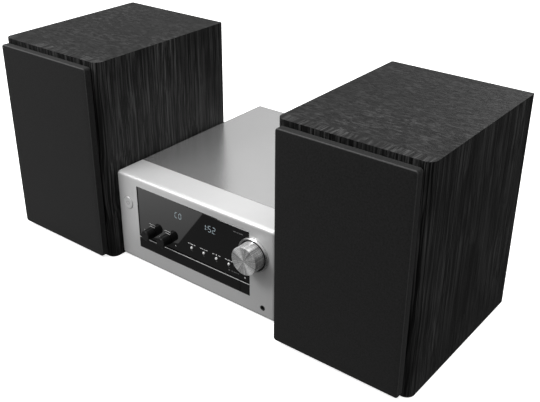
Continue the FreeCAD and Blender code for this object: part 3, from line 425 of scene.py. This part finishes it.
def circuit_board():
    """Green solder mask with lighter tracks under it."""
    f = Finish("Circuit board", Specular_IOR_Level=0.5)
    bricks = f.tree.nodes.new("ShaderNodeTexBrick")
    feed(f.tree, f.place, bricks.inputs["Vector"])
    bricks.inputs["Scale"].default_value = 90.0
    bricks.inputs["Color1"].default_value = (0.010, 0.085, 0.035, 1)
    bricks.inputs["Color2"].default_value = (0.008, 0.060, 0.026, 1)
    bricks.inputs["Mortar"].default_value = (0.020, 0.150, 0.060, 1)
    bricks.inputs["Mortar Size"].default_value = 0.03
    f.set("Base Color", bricks.outputs["Color"])
    f.rub(0.32, 0.06)
    return f.material


def pressed_paper():
    """Fibrous black paper of the woofer cones."""
    f = Finish("Pressed paper cone", Specular_IOR_Level=0.25)
    grain = f.use(FINE_GRAIN, Scale=700.0)
    f.set("Base Color", tint(f.tree, grain["Tone"], grey(0.012), grey(0.032)))
    f.rub(0.7, 0.05)
    f.bump(grain["Height"], 0.0002, 0.7)
    return f.material


def rubber():
    """Black rubber of feet, surrounds and grommets."""
    f = Finish("Rubber", Specular_IOR_Level=0.3)
    grain = f.use(FINE_GRAIN, Scale=1200.0)
    f.set("Base Color", tint(f.tree, grain["Tone"], grey(0.012), grey(0.024)))
    f.rub(0.6, 0.08)
    f.bump(grain["Height"], 0.00008, 0.4)
    return f.material


def glow(name, colour, strength):
    """Lit display segments, a little uneven along their length."""
    f = Finish(name, Roughness=0.4)
    f.set("Base Color", colour)
    flicker = noise(f.tree, f.place, 500.0, 2.0)
    dim = tuple(c * 0.75 for c in colour)
    f.set("Emission Color", tint(f.tree, flicker, dim, colour))
    f.shader.inputs["Emission Strength"].default_value = strength
    return f.material


def printed(name, level):
    """Screen-printed marks, slightly chalky."""
    f = Finish(name, Specular_IOR_Level=0.3)
    grain = f.use(FINE_GRAIN, Scale=2000.0)
    f.set("Base Color", tint(f.tree, grain["Tone"], grey(level * 0.9), grey(level)))
    f.rub(0.55, 0.05)
    return f.material


def spun_metal():
    """Turned aluminium: fine circles about its axis, with painted reflection streaks and two broad
    painted highlights.
    """
    f = Finish("Spun aluminium", Metallic=0.45)
    x, y, z = split(f.tree, f.place)
    reach = maths(f.tree, "SQRT", maths(f.tree, "ADD", maths(f.tree, "MULTIPLY", x, x),
                                        maths(f.tree, "MULTIPLY", z, z)))
    circle = f.tree.nodes.new("ShaderNodeCombineXYZ")
    feed(f.tree, reach, circle.inputs[0])
    feed(f.tree, y, circle.inputs[1])
    rings = noise(f.tree, circle.outputs[0], 5200.0, 2.0, 0.7)
    bearing = maths(f.tree, "ARCTAN2", z, x)
    fan = f.tree.nodes.new("ShaderNodeCombineXYZ")
    feed(f.tree, maths(f.tree, "COSINE", bearing), fan.inputs[0])
    feed(f.tree, maths(f.tree, "SINE", bearing), fan.inputs[1])
    # Painted reflection: light and dark wedges round the face, and two broad painted highlights at
    # bearings of 130 and 310 degrees, all in the base colour.
    painted_ray_reflection = noise(f.tree, fan.outputs[0], 4.0, 6.0, 0.75)
    doubled = maths(f.tree, "MULTIPLY_ADD", bearing, 2.0, -2.0 * math.radians(130.0))
    painted_fan_mask = span(f.tree, maths(f.tree, "COSINE", doubled), 0.55, 1.0)
    tone = maths(f.tree, "MULTIPLY_ADD", rings, 0.2, maths(f.tree, "MULTIPLY", painted_ray_reflection, 0.8))
    rings_and_painted_rays = tint(f.tree, span(f.tree, tone, 0.38, 0.62), grey(0.14), grey(0.85))
    on_face = span(f.tree, y, 0.0002, 0.0004, 1.0, 0.0)
    painted_fan_highlight = maths(f.tree, "MULTIPLY", maths(f.tree, "MULTIPLY", painted_fan_mask, on_face), 0.95)
    f.set("Base Color", tint(f.tree, painted_fan_highlight, rings_and_painted_rays, grey(1.0)))
    f.set("Roughness", span(f.tree, rings, 0.3, 0.7, 0.20, 0.32))
    f.shader.inputs["Anisotropic"].default_value = 0.8
    f.shader.inputs["Anisotropic Rotation"].default_value = 0.25
    tangent = f.tree.nodes.new("ShaderNodeTangent")
    tangent.direction_type = "RADIAL"
    tangent.axis = "Y"
    feed(f.tree, tangent.outputs[0], f.shader.inputs["Tangent"])
    f.bump(rings, 0.00001, 0.3)
    return f.material


ASH = ash_vinyl()
BOARD = painted_board()
CLOTH = grille_knit()
FASCIA = silver_paint("Silver fascia paint", 0.68, 0.40, 0.35)
COVER = silver_paint("Silver cover paint", 0.70, 0.25, 0.85)
ACRYLIC = acrylic()
BLACK_PLASTIC = moulded("Black moulded plastic", 0.016)
KNOB_PLASTIC = moulded("Soft black knob", 0.0045, 0.36, gloss=0.22)
DARK_PLASTIC = moulded("Charcoal loader plastic", 0.028, 0.55)
REAR_PAINT = moulded("Black rear panel paint", 0.020, 0.5, 1500.0)
ACETAL = moulded("Natural acetal", 0.60, 0.4, 1800.0)
RED_PLASTIC = moulded("Red lever plastic", (0.35, 0.012, 0.012), 0.4, 1800.0)
BASKET_PAINT = moulded("Black basket paint", 0.014, 0.4)
FERRITE = moulded("Ferrite magnet", 0.03, 0.65, 900.0)
SLEEVE = moulded("Capacitor sleeve", (0.012, 0.02, 0.06), 0.35, 1500.0)
TAPE = moulded("Transformer tape", (0.5, 0.35, 0.03), 0.4, 1500.0)
STEEL = plated_sheet()
CAN_STEEL = brushed_metal("Motor can steel", 0.6, (1.0, 1.0, 0.02), 0.3)
SINK_METAL = brushed_metal("Heat sink aluminium", 0.62, (1.0, 1.0, 0.02), 0.38)
RING_METAL = brushed_metal("Knob ring metal", 0.66, (1.0, 0.02, 1.0), 0.26)
DIECAST = brushed_metal("Die-cast pickup", 0.5, (1.0, 1.0, 1.0), 0.45, 900.0)
CHROME = bright_chrome()
TRIM = satin_trim()
PCB = circuit_board()
PAPER = pressed_paper()
RUBBER = rubber()
SILK = moulded("Coated silk dome", 0.012, 0.38, 3000.0)
SPUN = spun_metal()
SEGMENTS = glow("Display segments", (0.38, 0.46, 0.50), 0.34)
WHITE_PRINT = printed("White print", 0.90)
GREY_PRINT = printed("Grey print", 0.16)
LENS = moulded("Lens blue glass", (0.02, 0.02, 0.09), 0.05, 400.0)


# ---------------------------------------------------------------- finishing the CAD nodes
def dress(node, *materials):
    """Give a CAD node its finish in place of the plain one it came with."""
    mesh = NODES[node].data
    mesh.materials.clear()
    for material in materials:
        mesh.materials.append(material)


def dress_where(node, index, test):
    """Give a second finish to the faces whose centre passes a test."""
    for face in NODES[node].data.polygons:
        if test(face.center):
            face.material_index = index


def shells(node):
    """The faces of each separate solid in a node."""
    mesh = NODES[node].data
    owner = list(range(len(mesh.vertices)))
    places = {}
    for vertex in mesh.vertices:
        key = tuple(round(c, 6) for c in vertex.co)
        owner[vertex.index] = places.setdefault(key, vertex.index)
    root = dict((i, i) for i in set(owner))

    def find(i):
        while root[i] != i:
            root[i] = root[root[i]]
            i = root[i]
        return i

    for face in mesh.polygons:
        first = find(owner[face.vertices[0]])
        for v in face.vertices[1:]:
            root[find(owner[v])] = first
            first = find(first)
    groups = {}
    for face in mesh.polygons:
        groups.setdefault(find(owner[face.vertices[0]]), []).append(face)
    return list(groups.values())


def shell_box(faces, mesh):
    """The lowest and highest corners of some faces."""
    points = [mesh.vertices[v].co for face in faces for v in face.vertices]
    low = Vector([min(p[i] for p in points) for i in range(3)])
    high = Vector([max(p[i] for p in points) for i in range(3)])
    return low, high


def dress_shells(node, pick):
    """Give each separate solid its own finish. pick takes its size and centre, and returns an index."""
    mesh = NODES[node].data
    for faces in shells(node):
        low, high = shell_box(faces, mesh)
        index = pick(high - low, (low + high) / 2)
        for face in faces:
            face.material_index = index


def dress_speaker(side):
    """Finishes of one loudspeaker's CAD nodes."""
    dress(side + "_cabinet", ASH)
    dress(side + "_baffle", BOARD)
    dress(side + "_back_panel", BOARD)
    dress(side + "_port_tube", BLACK_PLASTIC)
    dress(side + "_cable_inlet", RUBBER)
    dress(side + "_feet", RUBBER)
    dress(side + "_woofer_surround", RUBBER)
    dress(side + "_woofer_cone", PAPER)
    dress(side + "_tweeter_dome", SILK)
    dress(side + "_grille_frame", BLACK_PLASTIC)
    dress(side + "_woofer_frame", BASKET_PAINT, FERRITE, STEEL)
    ferrite_t = 14 * MM
    dress_shells(side + "_woofer_frame", lambda size, at: 0 if size.x > 100 * MM
                 else 1 if abs(size.y - ferrite_t) < MM else 2)
    dress(side + "_tweeter_unit", BLACK_PLASTIC, SLEEVE, STEEL)
    dress_shells(side + "_tweeter_unit", lambda size, at: 0 if size.x > 40 * MM
                 else 1 if size.x > 15 * MM else 2)


def in_pocket_shade(at):
    """True for the walls of the panel's recess and of the power button's hole, which get black as
    painted shade.
    """
    slack = 0.6 * MM
    front, back = FASCIA_LOW.y + 0.1 * MM, FASCIA_LOW.y + 4.1 * MM
    button_low, button_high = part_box("power_button")
    in_recess = (WINDOW_LOW.x - slack < at.x < WINDOW_HIGH.x + slack
                 and DOOR_LOW.z - slack < at.z < WINDOW_HIGH.z + slack)
    in_hole = button_low.x < at.x < button_high.x and button_low.z < at.z < button_high.z
    return (in_recess or in_hole) and front < at.y < back


def beside_knob(at):
    """True for the sunk part of the ring, next to the volume knob's wall, which gets black as painted
    shade.
    """
    painted_shade_width = 1.6 * MM
    return math.hypot(at.x - KNOB_CENTRE.x, at.z - KNOB_CENTRE.z) < KNOB_R + painted_shade_width


def dress_receiver():
    """Finishes of the receiver's outer nodes."""
    dress("front_fascia", FASCIA, BLACK_PLASTIC)
    # Painted shade: the recess and hole walls get black in place of the silver paint.
    dress_where("front_fascia", 1, in_pocket_shade)
    dress("top_cover", COVER)
    dress("chassis_base", STEEL)
    dress("rear_panel", REAR_PAINT)
    dress("display_window", ACRYLIC)
    dress("knob_ring", RING_METAL, BLACK_PLASTIC)
    # Painted shade: the ring's sunk part beside the knob gets black in place of the metal.
    dress_where("knob_ring", 1, beside_knob)
    dress("headphone_jack", BLACK_PLASTIC)
    dress("power_button", FASCIA)
    dress("main_feet", RUBBER)
    dress("main_screws", STEEL)
    for node in ("bass_knob", "treble_knob"):
        dress(node, KNOB_PLASTIC)
    for node in TRANSPORT_KEYS:
        dress(node, TRIM)
    for node in ("tray_door", "eject_key"):
        dress(node, ACRYLIC, TRIM)
        trim_z = DOOR_HIGH.z - 1.0 * MM
        dress_where(node, 1, lambda at: at.z > trim_z and at.y < DOOR_LOW.y + 0.8 * MM)
    for number in range(1, 5):
        dress("terminal_lever_%d" % number, RED_PLASTIC if number % 2 else BLACK_PLASTIC)


def dress_mechanism():
    """Finishes of the loader, the boards and the sockets."""
    dress("disc_tray", DARK_PLASTIC)
    dress("disc_clamp", DARK_PLASTIC)
    dress("turntable_hub", BLACK_PLASTIC)
    dress("tray_pinion", ACETAL)
    dress("loader_frame", DARK_PLASTIC, CHROME)
    dress_shells("loader_frame", lambda size, at: 1 if size.x < 5 * MM else 0)
    dress("cd_motors", CAN_STEEL, BLACK_PLASTIC)
    dress_shells("cd_motors", lambda size, at: 1 if max(size.x, size.y) < 15 * MM
                 and size.z < 8 * MM else 0)
    dress("optical_pickup", DIECAST, LENS)
    lens_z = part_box("optical_pickup")[1].z - 3.2 * MM
    dress_where("optical_pickup", 1, lambda at: at.z > lens_z)
    dress("rear_connectors", BLACK_PLASTIC, STEEL)
    dress_shells("rear_connectors", lambda size, at: 1 if size.x < 20 * MM else 0)
    flat = 3 * MM
    dress("front_board", PCB, BLACK_PLASTIC)
    dress_shells("front_board", lambda size, at: 0 if size.x > 150 * MM else 1)
    dress("main_board", PCB, SINK_METAL, BLACK_PLASTIC, SLEEVE)
    dress_shells("main_board", lambda size, at: 0 if size.z < flat and size.x > 50 * MM
                 else 1 if size.z > 30 * MM else 3 if size.z > 15 * MM else 2)
    dress("power_board", PCB, TAPE, SLEEVE, BLACK_PLASTIC)
    dress_shells("power_board", lambda size, at: 0 if size.z < flat and size.x > 50 * MM
                 else 1 if size.x > 28 * MM else 2 if size.z > 20 * MM else 3)


# ---------------------------------------------------------------- new pieces
def piece(name, mesh, material, body, smooth_deg=35.0):
    """Put a finished mesh in the set: its material, smooth shading and the body it rides on."""
    if isinstance(mesh, bmesh.types.BMesh):
        made = bpy.data.meshes.new(name)
        bmesh.ops.recalc_face_normals(mesh, faces=mesh.faces)
        mesh.to_mesh(made)
        mesh.free()
        mesh = made
    mesh.materials.append(material)
    mesh.shade_smooth()
    mesh.set_sharp_from_angle(angle=math.radians(smooth_deg))
    obj = bpy.data.objects.new(name, mesh)
    bpy.context.scene.collection.objects.link(obj)
    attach(obj, body)
    return obj


def turned(profile, steps=96):
    """A closed solid turned about Y from (radius, y) points that start and end on the axis."""
    made = bmesh.new()
    rings = []
    for radius, y in profile:
        if radius < 1e-7:
            rings.append([made.verts.new((0, y, 0))])
            continue
        turn = [2 * math.pi * i / steps for i in range(steps)]
        rings.append([made.verts.new((radius * math.cos(a), y, radius * math.sin(a))) for a in turn])
    for one, two in zip(rings, rings[1:]):
        for i in range(steps):
            j = (i + 1) % steps
            corners = {id(v): v for v in (one[i % len(one)], one[j % len(one)], two[j % len(two)],
                                          two[i % len(two)])}
            made.faces.new(list(corners.values()))
    return made


def volume_knob():
    """Turned aluminium knob: flat spun face with a crisp broken edge, brushed wall, hollow back."""
    r = KNOB_R
    skirt = 14.2 * MM
    edge = 0.45 * MM
    groove = 0.4 * MM
    hub = 6 * MM
    wall = r - 2 * MM
    floor_y = 4 * MM
    profile = [(0, 0), (r - 3 * edge, 0)]
    profile += [(r - edge + edge * math.sin(a), edge - edge * math.cos(a))
                for a in (math.radians(15 * i) for i in range(7))]
    profile += [(r, skirt - 4 * groove), (r - groove, skirt - 3 * groove),
                (r - groove, skirt - 2 * groove), (r, skirt - groove), (r, skirt),
                (wall, skirt), (wall, floor_y), (hub, floor_y),
                (hub, skirt - MM), (0, skirt - MM)]
    knob = piece("volume_knob_cap", turned(profile, 128), SPUN, "volume_knob", 30.0)
    knob.location = (KNOB_CENTRE.x, KNOB_LOW.y, KNOB_CENTRE.z)
    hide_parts("volume_knob")


def stadium_ring(half_w, half_h, corner, steps):
    """Points round a rounded rectangle, with the same count for every size."""
    points = []
    for sx, sz, start in ((1, 1, 0), (-1, 1, 90), (-1, -1, 180), (1, -1, 270)):
        for i in range(steps + 1):
            a = math.radians(start + 90.0 * i / steps)
            points.append((sx * (half_w - corner) + corner * math.cos(a),
                           sz * (half_h - corner) + corner * math.sin(a)))
    return points


CLOTH_CORNER = 3.2 * MM


def grille_fabric(side):
    """Cloth stretched over the grille frame: flat front, rolled front edges, turned in at the back."""
    low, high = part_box(side + "_grille_cloth")
    centre = (low + high) / 2
    half_w = (high.x - low.x) / 2
    half_h = (high.z - low.z) / 2
    depth = high.y - low.y
    edge = 1.5 * MM
    rows = []
    for inset in (0.86, 0.6, 0.3, 0.12):
        rows.append((inset * half_w, 0.0))
    for i in range(7):
        a = math.radians(90.0 * i / 6)
        rows.append((edge * (1 - math.sin(a)), edge * (1 - math.cos(a))))
    rows += [(0.05 * MM, depth * 0.6), (0.0, depth * 0.85),
             (0.25 * MM, depth - 0.15 * MM), (0.85 * MM, depth)]
    made = bmesh.new()
    rings = []
    for inset, back in rows:
        corner = max(0.8 * MM, CLOTH_CORNER - inset * 0.6)
        ring = stadium_ring(half_w - inset, half_h - inset, corner, 8)
        rings.append([made.verts.new((centre.x + x, low.y + back, centre.z + z)) for x, z in ring])
    for one, two in zip(rings, rings[1:]):
        for i in range(len(one)):
            j = (i + 1) % len(one)
            made.faces.new((one[i], one[j], two[j], two[i]))
    made.faces.new(rings[0])
    cloth = piece(side + "_grille_fabric", made, CLOTH, side + "_grille", 60.0)
    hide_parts(side + "_grille_cloth")


# ---------------------------------------------------------------- marks on the panel
MARK_LIFT = 0.03 * MM


def plate(made, outline, y, thick=0.02 * MM):
    """A thin flat mark from (x, z) points, its face towards the front."""
    front = [made.verts.new((x, y - thick, z)) for x, z in outline]
    back = [made.verts.new((x, y, z)) for x, z in outline]
    made.faces.new(front)
    made.faces.new(back[::-1])
    for i in range(len(outline)):
        j = (i + 1) % len(outline)
        made.faces.new((front[i], front[j], back[j], back[i]))


def on_front(x, z):
    """A place on the receiver's front, in millimetres from its left side and the floor."""
    return MAIN_X + x * MM, z * MM


def bar(made, x0, z0, x1, z1, width, y):
    """A straight stroke with square ends."""
    run = Vector((x1 - x0, z1 - z0))
    side = Vector((-run.y, run.x)).normalized() * width / 2
    a, b = Vector((x0, z0)), Vector((x1, z1))
    plate(made, [tuple(a + side), tuple(b + side), tuple(b - side), tuple(a - side)], y)


def arc(made, x, z, r, from_deg, to_deg, width, y, steps=20):
    """A curved stroke about x, z."""
    outer, inner = [], []
    for i in range(steps + 1):
        a = math.radians(from_deg + (to_deg - from_deg) * i / steps)
        outer.append((x + (r + width / 2) * math.cos(a), z + (r + width / 2) * math.sin(a)))
        inner.append((x + (r - width / 2) * math.cos(a), z + (r - width / 2) * math.sin(a)))
    for i in range(steps):
        plate(made, [outer[i], outer[i + 1], inner[i + 1], inner[i]], y)


SEGMENT_ENDS = {  # each bar's ends in a cell one wide and two high, slanting a little
    "top": ((0, 2), (1, 2)), "middle": ((0, 1), (1, 1)), "base": ((0, 0), (1, 0)),
    "upper_left": ((0, 2), (0, 1)), "upper_right": ((1, 2), (1, 1)),
    "lower_left": ((0, 1), (0, 0)), "lower_right": ((1, 1), (1, 0))}
GLYPHS = {
    "C": ("top", "upper_left", "lower_left", "base"),
    "D": ("top", "upper_left", "lower_left", "base", "upper_right", "lower_right"),
    "1": ("upper_right", "lower_right"),
    "5": ("top", "upper_left", "middle", "lower_right", "base"),
    "2": ("top", "upper_right", "middle", "lower_left", "base")}
# Each character and its distance from the receiver's left side, in millimetres.
DISC_SIGN = (("C", 89.0), ("D", 94.6))
TIME_SIGN = (("1", 129.5), ("5", 136.9), ("2", 142.8))


def glyph(made, sign, x, z, width, height, y):
    """One seven-segment character, its lower left corner at x, z."""
    half = height / 2
    lean = 0.10 * height
    gap = 0.06 * height
    for name in GLYPHS[sign]:
        (ax, az), (bx, bz) = SEGMENT_ENDS[name]
        start = Vector((x + ax * width + lean * az / 2, z + az * half))
        end = Vector((x + bx * width + lean * bz / 2, z + bz * half))
        run = (end - start).normalized()
        start += run * gap
        end -= run * gap
        bar(made, start.x, start.y, end.x, end.y, 0.085 * height, y)


def display_digits():
    """The disc sign and the time, with its colon."""
    made = bmesh.new()
    y = PANEL_Y - MARK_LIFT
    height = 7.0 * MM
    for sign, left in DISC_SIGN:
        x, z = on_front(left, 80.2)
        glyph(made, sign, x, z, 3.2 * MM, height * 0.93, y)
    for sign, left in TIME_SIGN:
        x, z = on_front(left, 79.6)
        glyph(made, sign, x, z, 3.6 * MM, height, y)
    dot = 0.7 * MM
    for dot_z in (81.4, 84.4):
        x, z = on_front(135.2, dot_z)
        bar(made, x, z, x + dot, z, dot, y)
    piece("display_digits", made, SEGMENTS, "receiver")


def triangle(made, x, z, size, direction, y):
    """A solid arrow head that points along direction, 1 to the right or -1 to the left."""
    plate(made, [(x - direction * size / 2, z - size * 0.55), (x + direction * size / 2, z),
                 (x - direction * size / 2, z + size * 0.55)], y)


def key_symbols():
    """Transport signs between two rules above the keys, and a faint dash below each key."""
    made = bmesh.new()
    faint = bmesh.new()
    y = PANEL_Y - MARK_LIFT
    size = 1.5 * MM
    tall = 0.8 * MM
    for node in TRANSPORT_KEYS:
        low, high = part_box(node)
        x = (low.x + high.x) / 2
        z = (low.z + high.z) / 2 + 4.4 * MM
        if node in ("skip_back_key", "skip_forward_key"):
            way = 1 if node == "skip_forward_key" else -1
            triangle(made, x - way * 0.9 * MM, z, size, way, y)
            triangle(made, x + way * 0.6 * MM, z, size, way, y)
            bar(made, x + way * 1.7 * MM, z - tall, x + way * 1.7 * MM, z + tall, 0.35 * MM, y)
        elif node == "play_key":
            triangle(made, x - 1.4 * MM, z, size, 1, y)
            for dx in (0.6, 1.5):
                bar(made, x + dx * MM, z - tall, x + dx * MM, z + tall, 0.4 * MM, y)
        else:
            bar(made, x - 0.75 * MM, z, x + 0.75 * MM, z, size, y)
        for way in (-1, 1):
            bar(made, x + way * 2.8 * MM, z, x + way * 5.4 * MM, z, 0.75 * MM, y)
        bar(faint, x - 0.9 * MM, z - 8.2 * MM, x + 0.9 * MM, z - 8.2 * MM, 0.5 * MM, y)
    piece("key_symbols", made, WHITE_PRINT, "receiver")
    x, z = on_front(165.5, 43.4)
    arc(faint, x, z, 0.7 * MM, 0, 360, 0.5 * MM, y)
    for start, length in ((3.0, 2.6), (6.4, 4.0), (11.2, 2.2)):
        bar(faint, x + start * MM, z, x + (start + length) * MM, z, 0.7 * MM, y)
    x, z = on_front(172.0, 92.6)
    for start, length in ((0.0, 3.4), (4.2, 2.4), (7.4, 5.0)):
        bar(faint, x + start * MM, z, x + (start + length) * MM, z, 0.9 * MM, y)
    piece("panel_dashes", faint, GREY_PRINT, "receiver")


def wave_line(made, x, z, width, height, waves, y):
    """A small sine sign: few waves for low notes, more for high ones."""
    steps = 12 * waves
    last = None
    for i in range(steps + 1):
        along = i / steps
        here = (x + (along - 0.5) * width, z + height / 2 * math.sin(2 * math.pi * waves * along))
        if last:
            bar(made, *last, *here, 0.28 * MM, y)
        last = here


def tone_symbols():
    """Wave signs above the tone knobs, a rule under each, and the index ticks beside them."""
    made = bmesh.new()
    y = PANEL_Y - MARK_LIFT
    for node, waves in (("bass_knob", 2), ("treble_knob", 5)):
        low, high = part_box(node)
        x = (low.x + high.x) / 2 + 1.0 * MM
        z = (low.z + high.z) / 2
        wave_line(made, x, z + 10.2 * MM, 9.4 * MM, 1.1 * MM, waves, y)
        bar(made, x - 3.4 * MM, z + 7.4 * MM, x + 3.4 * MM, z + 7.4 * MM, 0.45 * MM, y)
    for tick_x, tick_z in ((40.2, 47.0), (64.2, 46.4), (88.0, 44.0)):
        x, z = on_front(tick_x, tick_z)
        bar(made, x - 0.9 * MM, z + 0.5 * MM, x + 0.9 * MM, z - 0.5 * MM, 0.45 * MM, y)
    piece("tone_symbols", made, WHITE_PRINT, "receiver")


def eject_symbol():
    """A small arrow head over a rule, above the eject key."""
    made = bmesh.new()
    low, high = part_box("eject_key")
    x = (low.x + WINDOW_HIGH.x) / 2
    z = high.z + 5.5 * MM
    y = PANEL_Y - MARK_LIFT
    plate(made, [(x - 1.1 * MM, z - 0.5 * MM), (x + 1.1 * MM, z - 0.5 * MM), (x, z + 0.9 * MM)], y)
    bar(made, x - 1.1 * MM, z - 1.05 * MM, x + 1.1 * MM, z - 1.05 * MM, 0.4 * MM, y)
    piece("eject_symbol", made, WHITE_PRINT, "receiver")


def power_symbol():
    """An open ring with a bar through its gap, on the power button."""
    made = bmesh.new()
    low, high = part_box("power_button")
    x = (low.x + high.x) / 2
    z = (low.z + high.z) / 2
    y = low.y + 0.2 * MM - MARK_LIFT
    arc(made, x, z, 2.1 * MM, 120, 420, 0.35 * MM, y)
    bar(made, x, z + 0.6 * MM, x, z + 2.6 * MM, 0.35 * MM, y)
    piece("power_symbol", made, GREY_PRINT, "power_button")


def terminal_marks():
    """Plus and minus signs under the terminal levers."""
    made = bmesh.new()
    low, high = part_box("rear_connectors")
    y = high.y - 4.0 * MM + MARK_LIFT
    for number in range(1, 5):
        lever_low, lever_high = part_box("terminal_lever_%d" % number)
        x = (lever_low.x + lever_high.x) / 2
        z = low.z + 5.2 * MM
        bar(made, x - 1.1 * MM, z, x + 1.1 * MM, z, 0.4 * MM, y)
        if number % 2:
            bar(made, x, z - 1.1 * MM, x, z + 1.1 * MM, 0.4 * MM, y)
    piece("terminal_marks", made, WHITE_PRINT, "receiver")


# ---------------------------------------------------------------- studio
CAMERA_PLACE = (0.5346, -0.6734, 0.5148)
CAMERA_AZIMUTH_DEG = 38.48
CAMERA_ELEVATION_DEG = 26.81
LAMPS = (  # name, place, aim, size and power
    ("overhead", (-0.1, 0.1, 1.9), (0, 0, 0), (2.2, 2.0), 20),
    ("key", (-0.55, -0.85, 0.95), (0, -0.1, 0.08), (0.4, 0.4), 6.5),
    ("front_left", (-1.3, -1.5, 0.9), (0, 0, 0.08), (1.2, 1.2), 4),
    ("rear_right", (1.4, 1.2, 1.3), (0, 0, 0.1), (1.0, 1.0), 1.2),
    ("behind", (0.2, 1.9, 0.9), (0, 0, 0.1), (1.2, 1.2), 7))


def camera():
    """A fixed camera in front of the set, above it and to its right."""
    azimuth, elevation = math.radians(CAMERA_AZIMUTH_DEG), math.radians(CAMERA_ELEVATION_DEG)
    back = Vector((math.sin(azimuth) * math.cos(elevation), -math.cos(azimuth) * math.cos(elevation),
                   math.sin(elevation)))
    data = bpy.data.cameras.new("camera")
    data.sensor_width = 36.0
    data.lens = 55.34
    data.shift_x = 0.0131
    data.shift_y = -0.0278
    data.clip_start = 0.01
    eye = bpy.data.objects.new("camera", data)
    bpy.context.scene.collection.objects.link(eye)
    eye.location = CAMERA_PLACE
    eye.rotation_mode = "QUATERNION"
    eye.rotation_quaternion = (-back).to_track_quat("-Z", "Y")
    bpy.context.scene.camera = eye


def soft_light(name, place, aim, size, power):
    """An even rectangular lamp turned to face a point."""
    data = bpy.data.lights.new(name, "AREA")
    data.shape = "RECTANGLE"
    data.size, data.size_y = size
    data.energy = power
    lamp = bpy.data.objects.new(name, data)
    bpy.context.scene.collection.objects.link(lamp)
    lamp.location = place
    lamp.rotation_mode = "QUATERNION"
    lamp.rotation_quaternion = (Vector(aim) - Vector(place)).to_track_quat("-Z", "Y")


def staged(name, corners, material):
    """A flat card or floor of the studio, which isn't part of the object."""
    made = bmesh.new()
    made.faces.new([made.verts.new(corner) for corner in corners])
    mesh = bpy.data.meshes.new(name)
    made.to_mesh(mesh)
    made.free()
    mesh.materials.append(material)
    card = bpy.data.objects.new(name, mesh)
    bpy.context.scene.collection.objects.link(card)
    return card


def floor():
    """White sweep that shows soft shadows but throws no light back up."""
    f = Finish("White sweep", Roughness=0.9, Specular_IOR_Level=0.0)
    soft = noise(f.tree, f.place, 3.0, 2.0)
    f.set("Base Color", tint(f.tree, soft, grey(0.93), grey(0.95)))
    f.set("Emission Color", grey(1.0))
    f.shader.inputs["Emission Strength"].default_value = 0.7
    reach = 6.0
    corners = ((-reach, -reach, 0.0), (reach, -reach, 0.0), (reach, reach, 0.0), (-reach, reach, 0.0))
    plane = staged("floor", corners, f.material)
    plane.visible_diffuse = False
    plane.visible_glossy = False


def mirror_card():
    """A glowing grey card before the receiver that only the glossy parts see."""
    f = Finish("Grey card", Roughness=0.9)
    f.set("Base Color", tint(f.tree, noise(f.tree, f.place, 40.0), grey(0.01), grey(0.02)))
    x, y, z = split(f.tree, f.place)
    away = maths(f.tree, "MULTIPLY_ADD", y, -1.0, maths(f.tree, "MULTIPLY", x, -0.5))
    glow_up = span(f.tree, away, 0.20, 0.50, 0.34, 1.15)
    f.set("Emission Color", tint(f.tree, glow_up, grey(0.0), grey(1.0)))
    f.shader.inputs["Emission Strength"].default_value = 1.0
    card_z = 1.2 * MM
    corners = ((-0.108, -0.244), (-0.082, -0.174), (-0.1345, -0.1615), (-0.30, -0.1615),
               (-0.42, -0.42), (-0.20, -0.49))
    card = staged("mirror_card", [(x, y, card_z) for x, y in corners], f.material)
    card.visible_camera = False
    card.visible_diffuse = False
    card.visible_shadow = False
    card.visible_transmission = False


def world():
    """White to the camera; to the object, bright above and dark below the horizon."""
    sky = bpy.data.worlds.new("studio")
    bpy.context.scene.world = sky
    sky.use_nodes = True
    tree = sky.node_tree
    around = tree.nodes["Background"]
    upward = split(tree, tree.nodes.new("ShaderNodeTexCoord").outputs["Generated"])[2]
    level = span(tree, upward, -0.05, 0.75, 0.10, 0.95)
    feed(tree, tint(tree, level, grey(0.0), grey(1.0)), around.inputs["Color"])
    around.inputs["Strength"].default_value = 1.0
    white = tree.nodes.new("ShaderNodeBackground")
    white.inputs["Color"].default_value = (1, 1, 1, 1)
    white.inputs["Strength"].default_value = 1.0
    path = tree.nodes.new("ShaderNodeLightPath")
    mix = tree.nodes.new("ShaderNodeMixShader")
    tree.links.new(path.outputs["Is Camera Ray"], mix.inputs[0])
    tree.links.new(around.outputs[0], mix.inputs[1])
    tree.links.new(white.outputs[0], mix.inputs[2])
    tree.links.new(mix.outputs[0], tree.nodes["World Output"].inputs["Surface"])


def studio():
    """The surroundings: sky, floor, card and lamps."""
    world()
    floor()
    mirror_card()
    for lamp in LAMPS:
        soft_light(*lamp)
    bpy.context.scene.view_settings.view_transform = "Standard"


# ---------------------------------------------------------------- making it all
camera()
studio()
for side in SIDES:
    dress_speaker(side)
    grille_fabric(side)
dress_receiver()
dress_mechanism()
volume_knob()
display_digits()
key_symbols()
tone_symbols()
eject_symbol()
power_symbol()
terminal_marks()
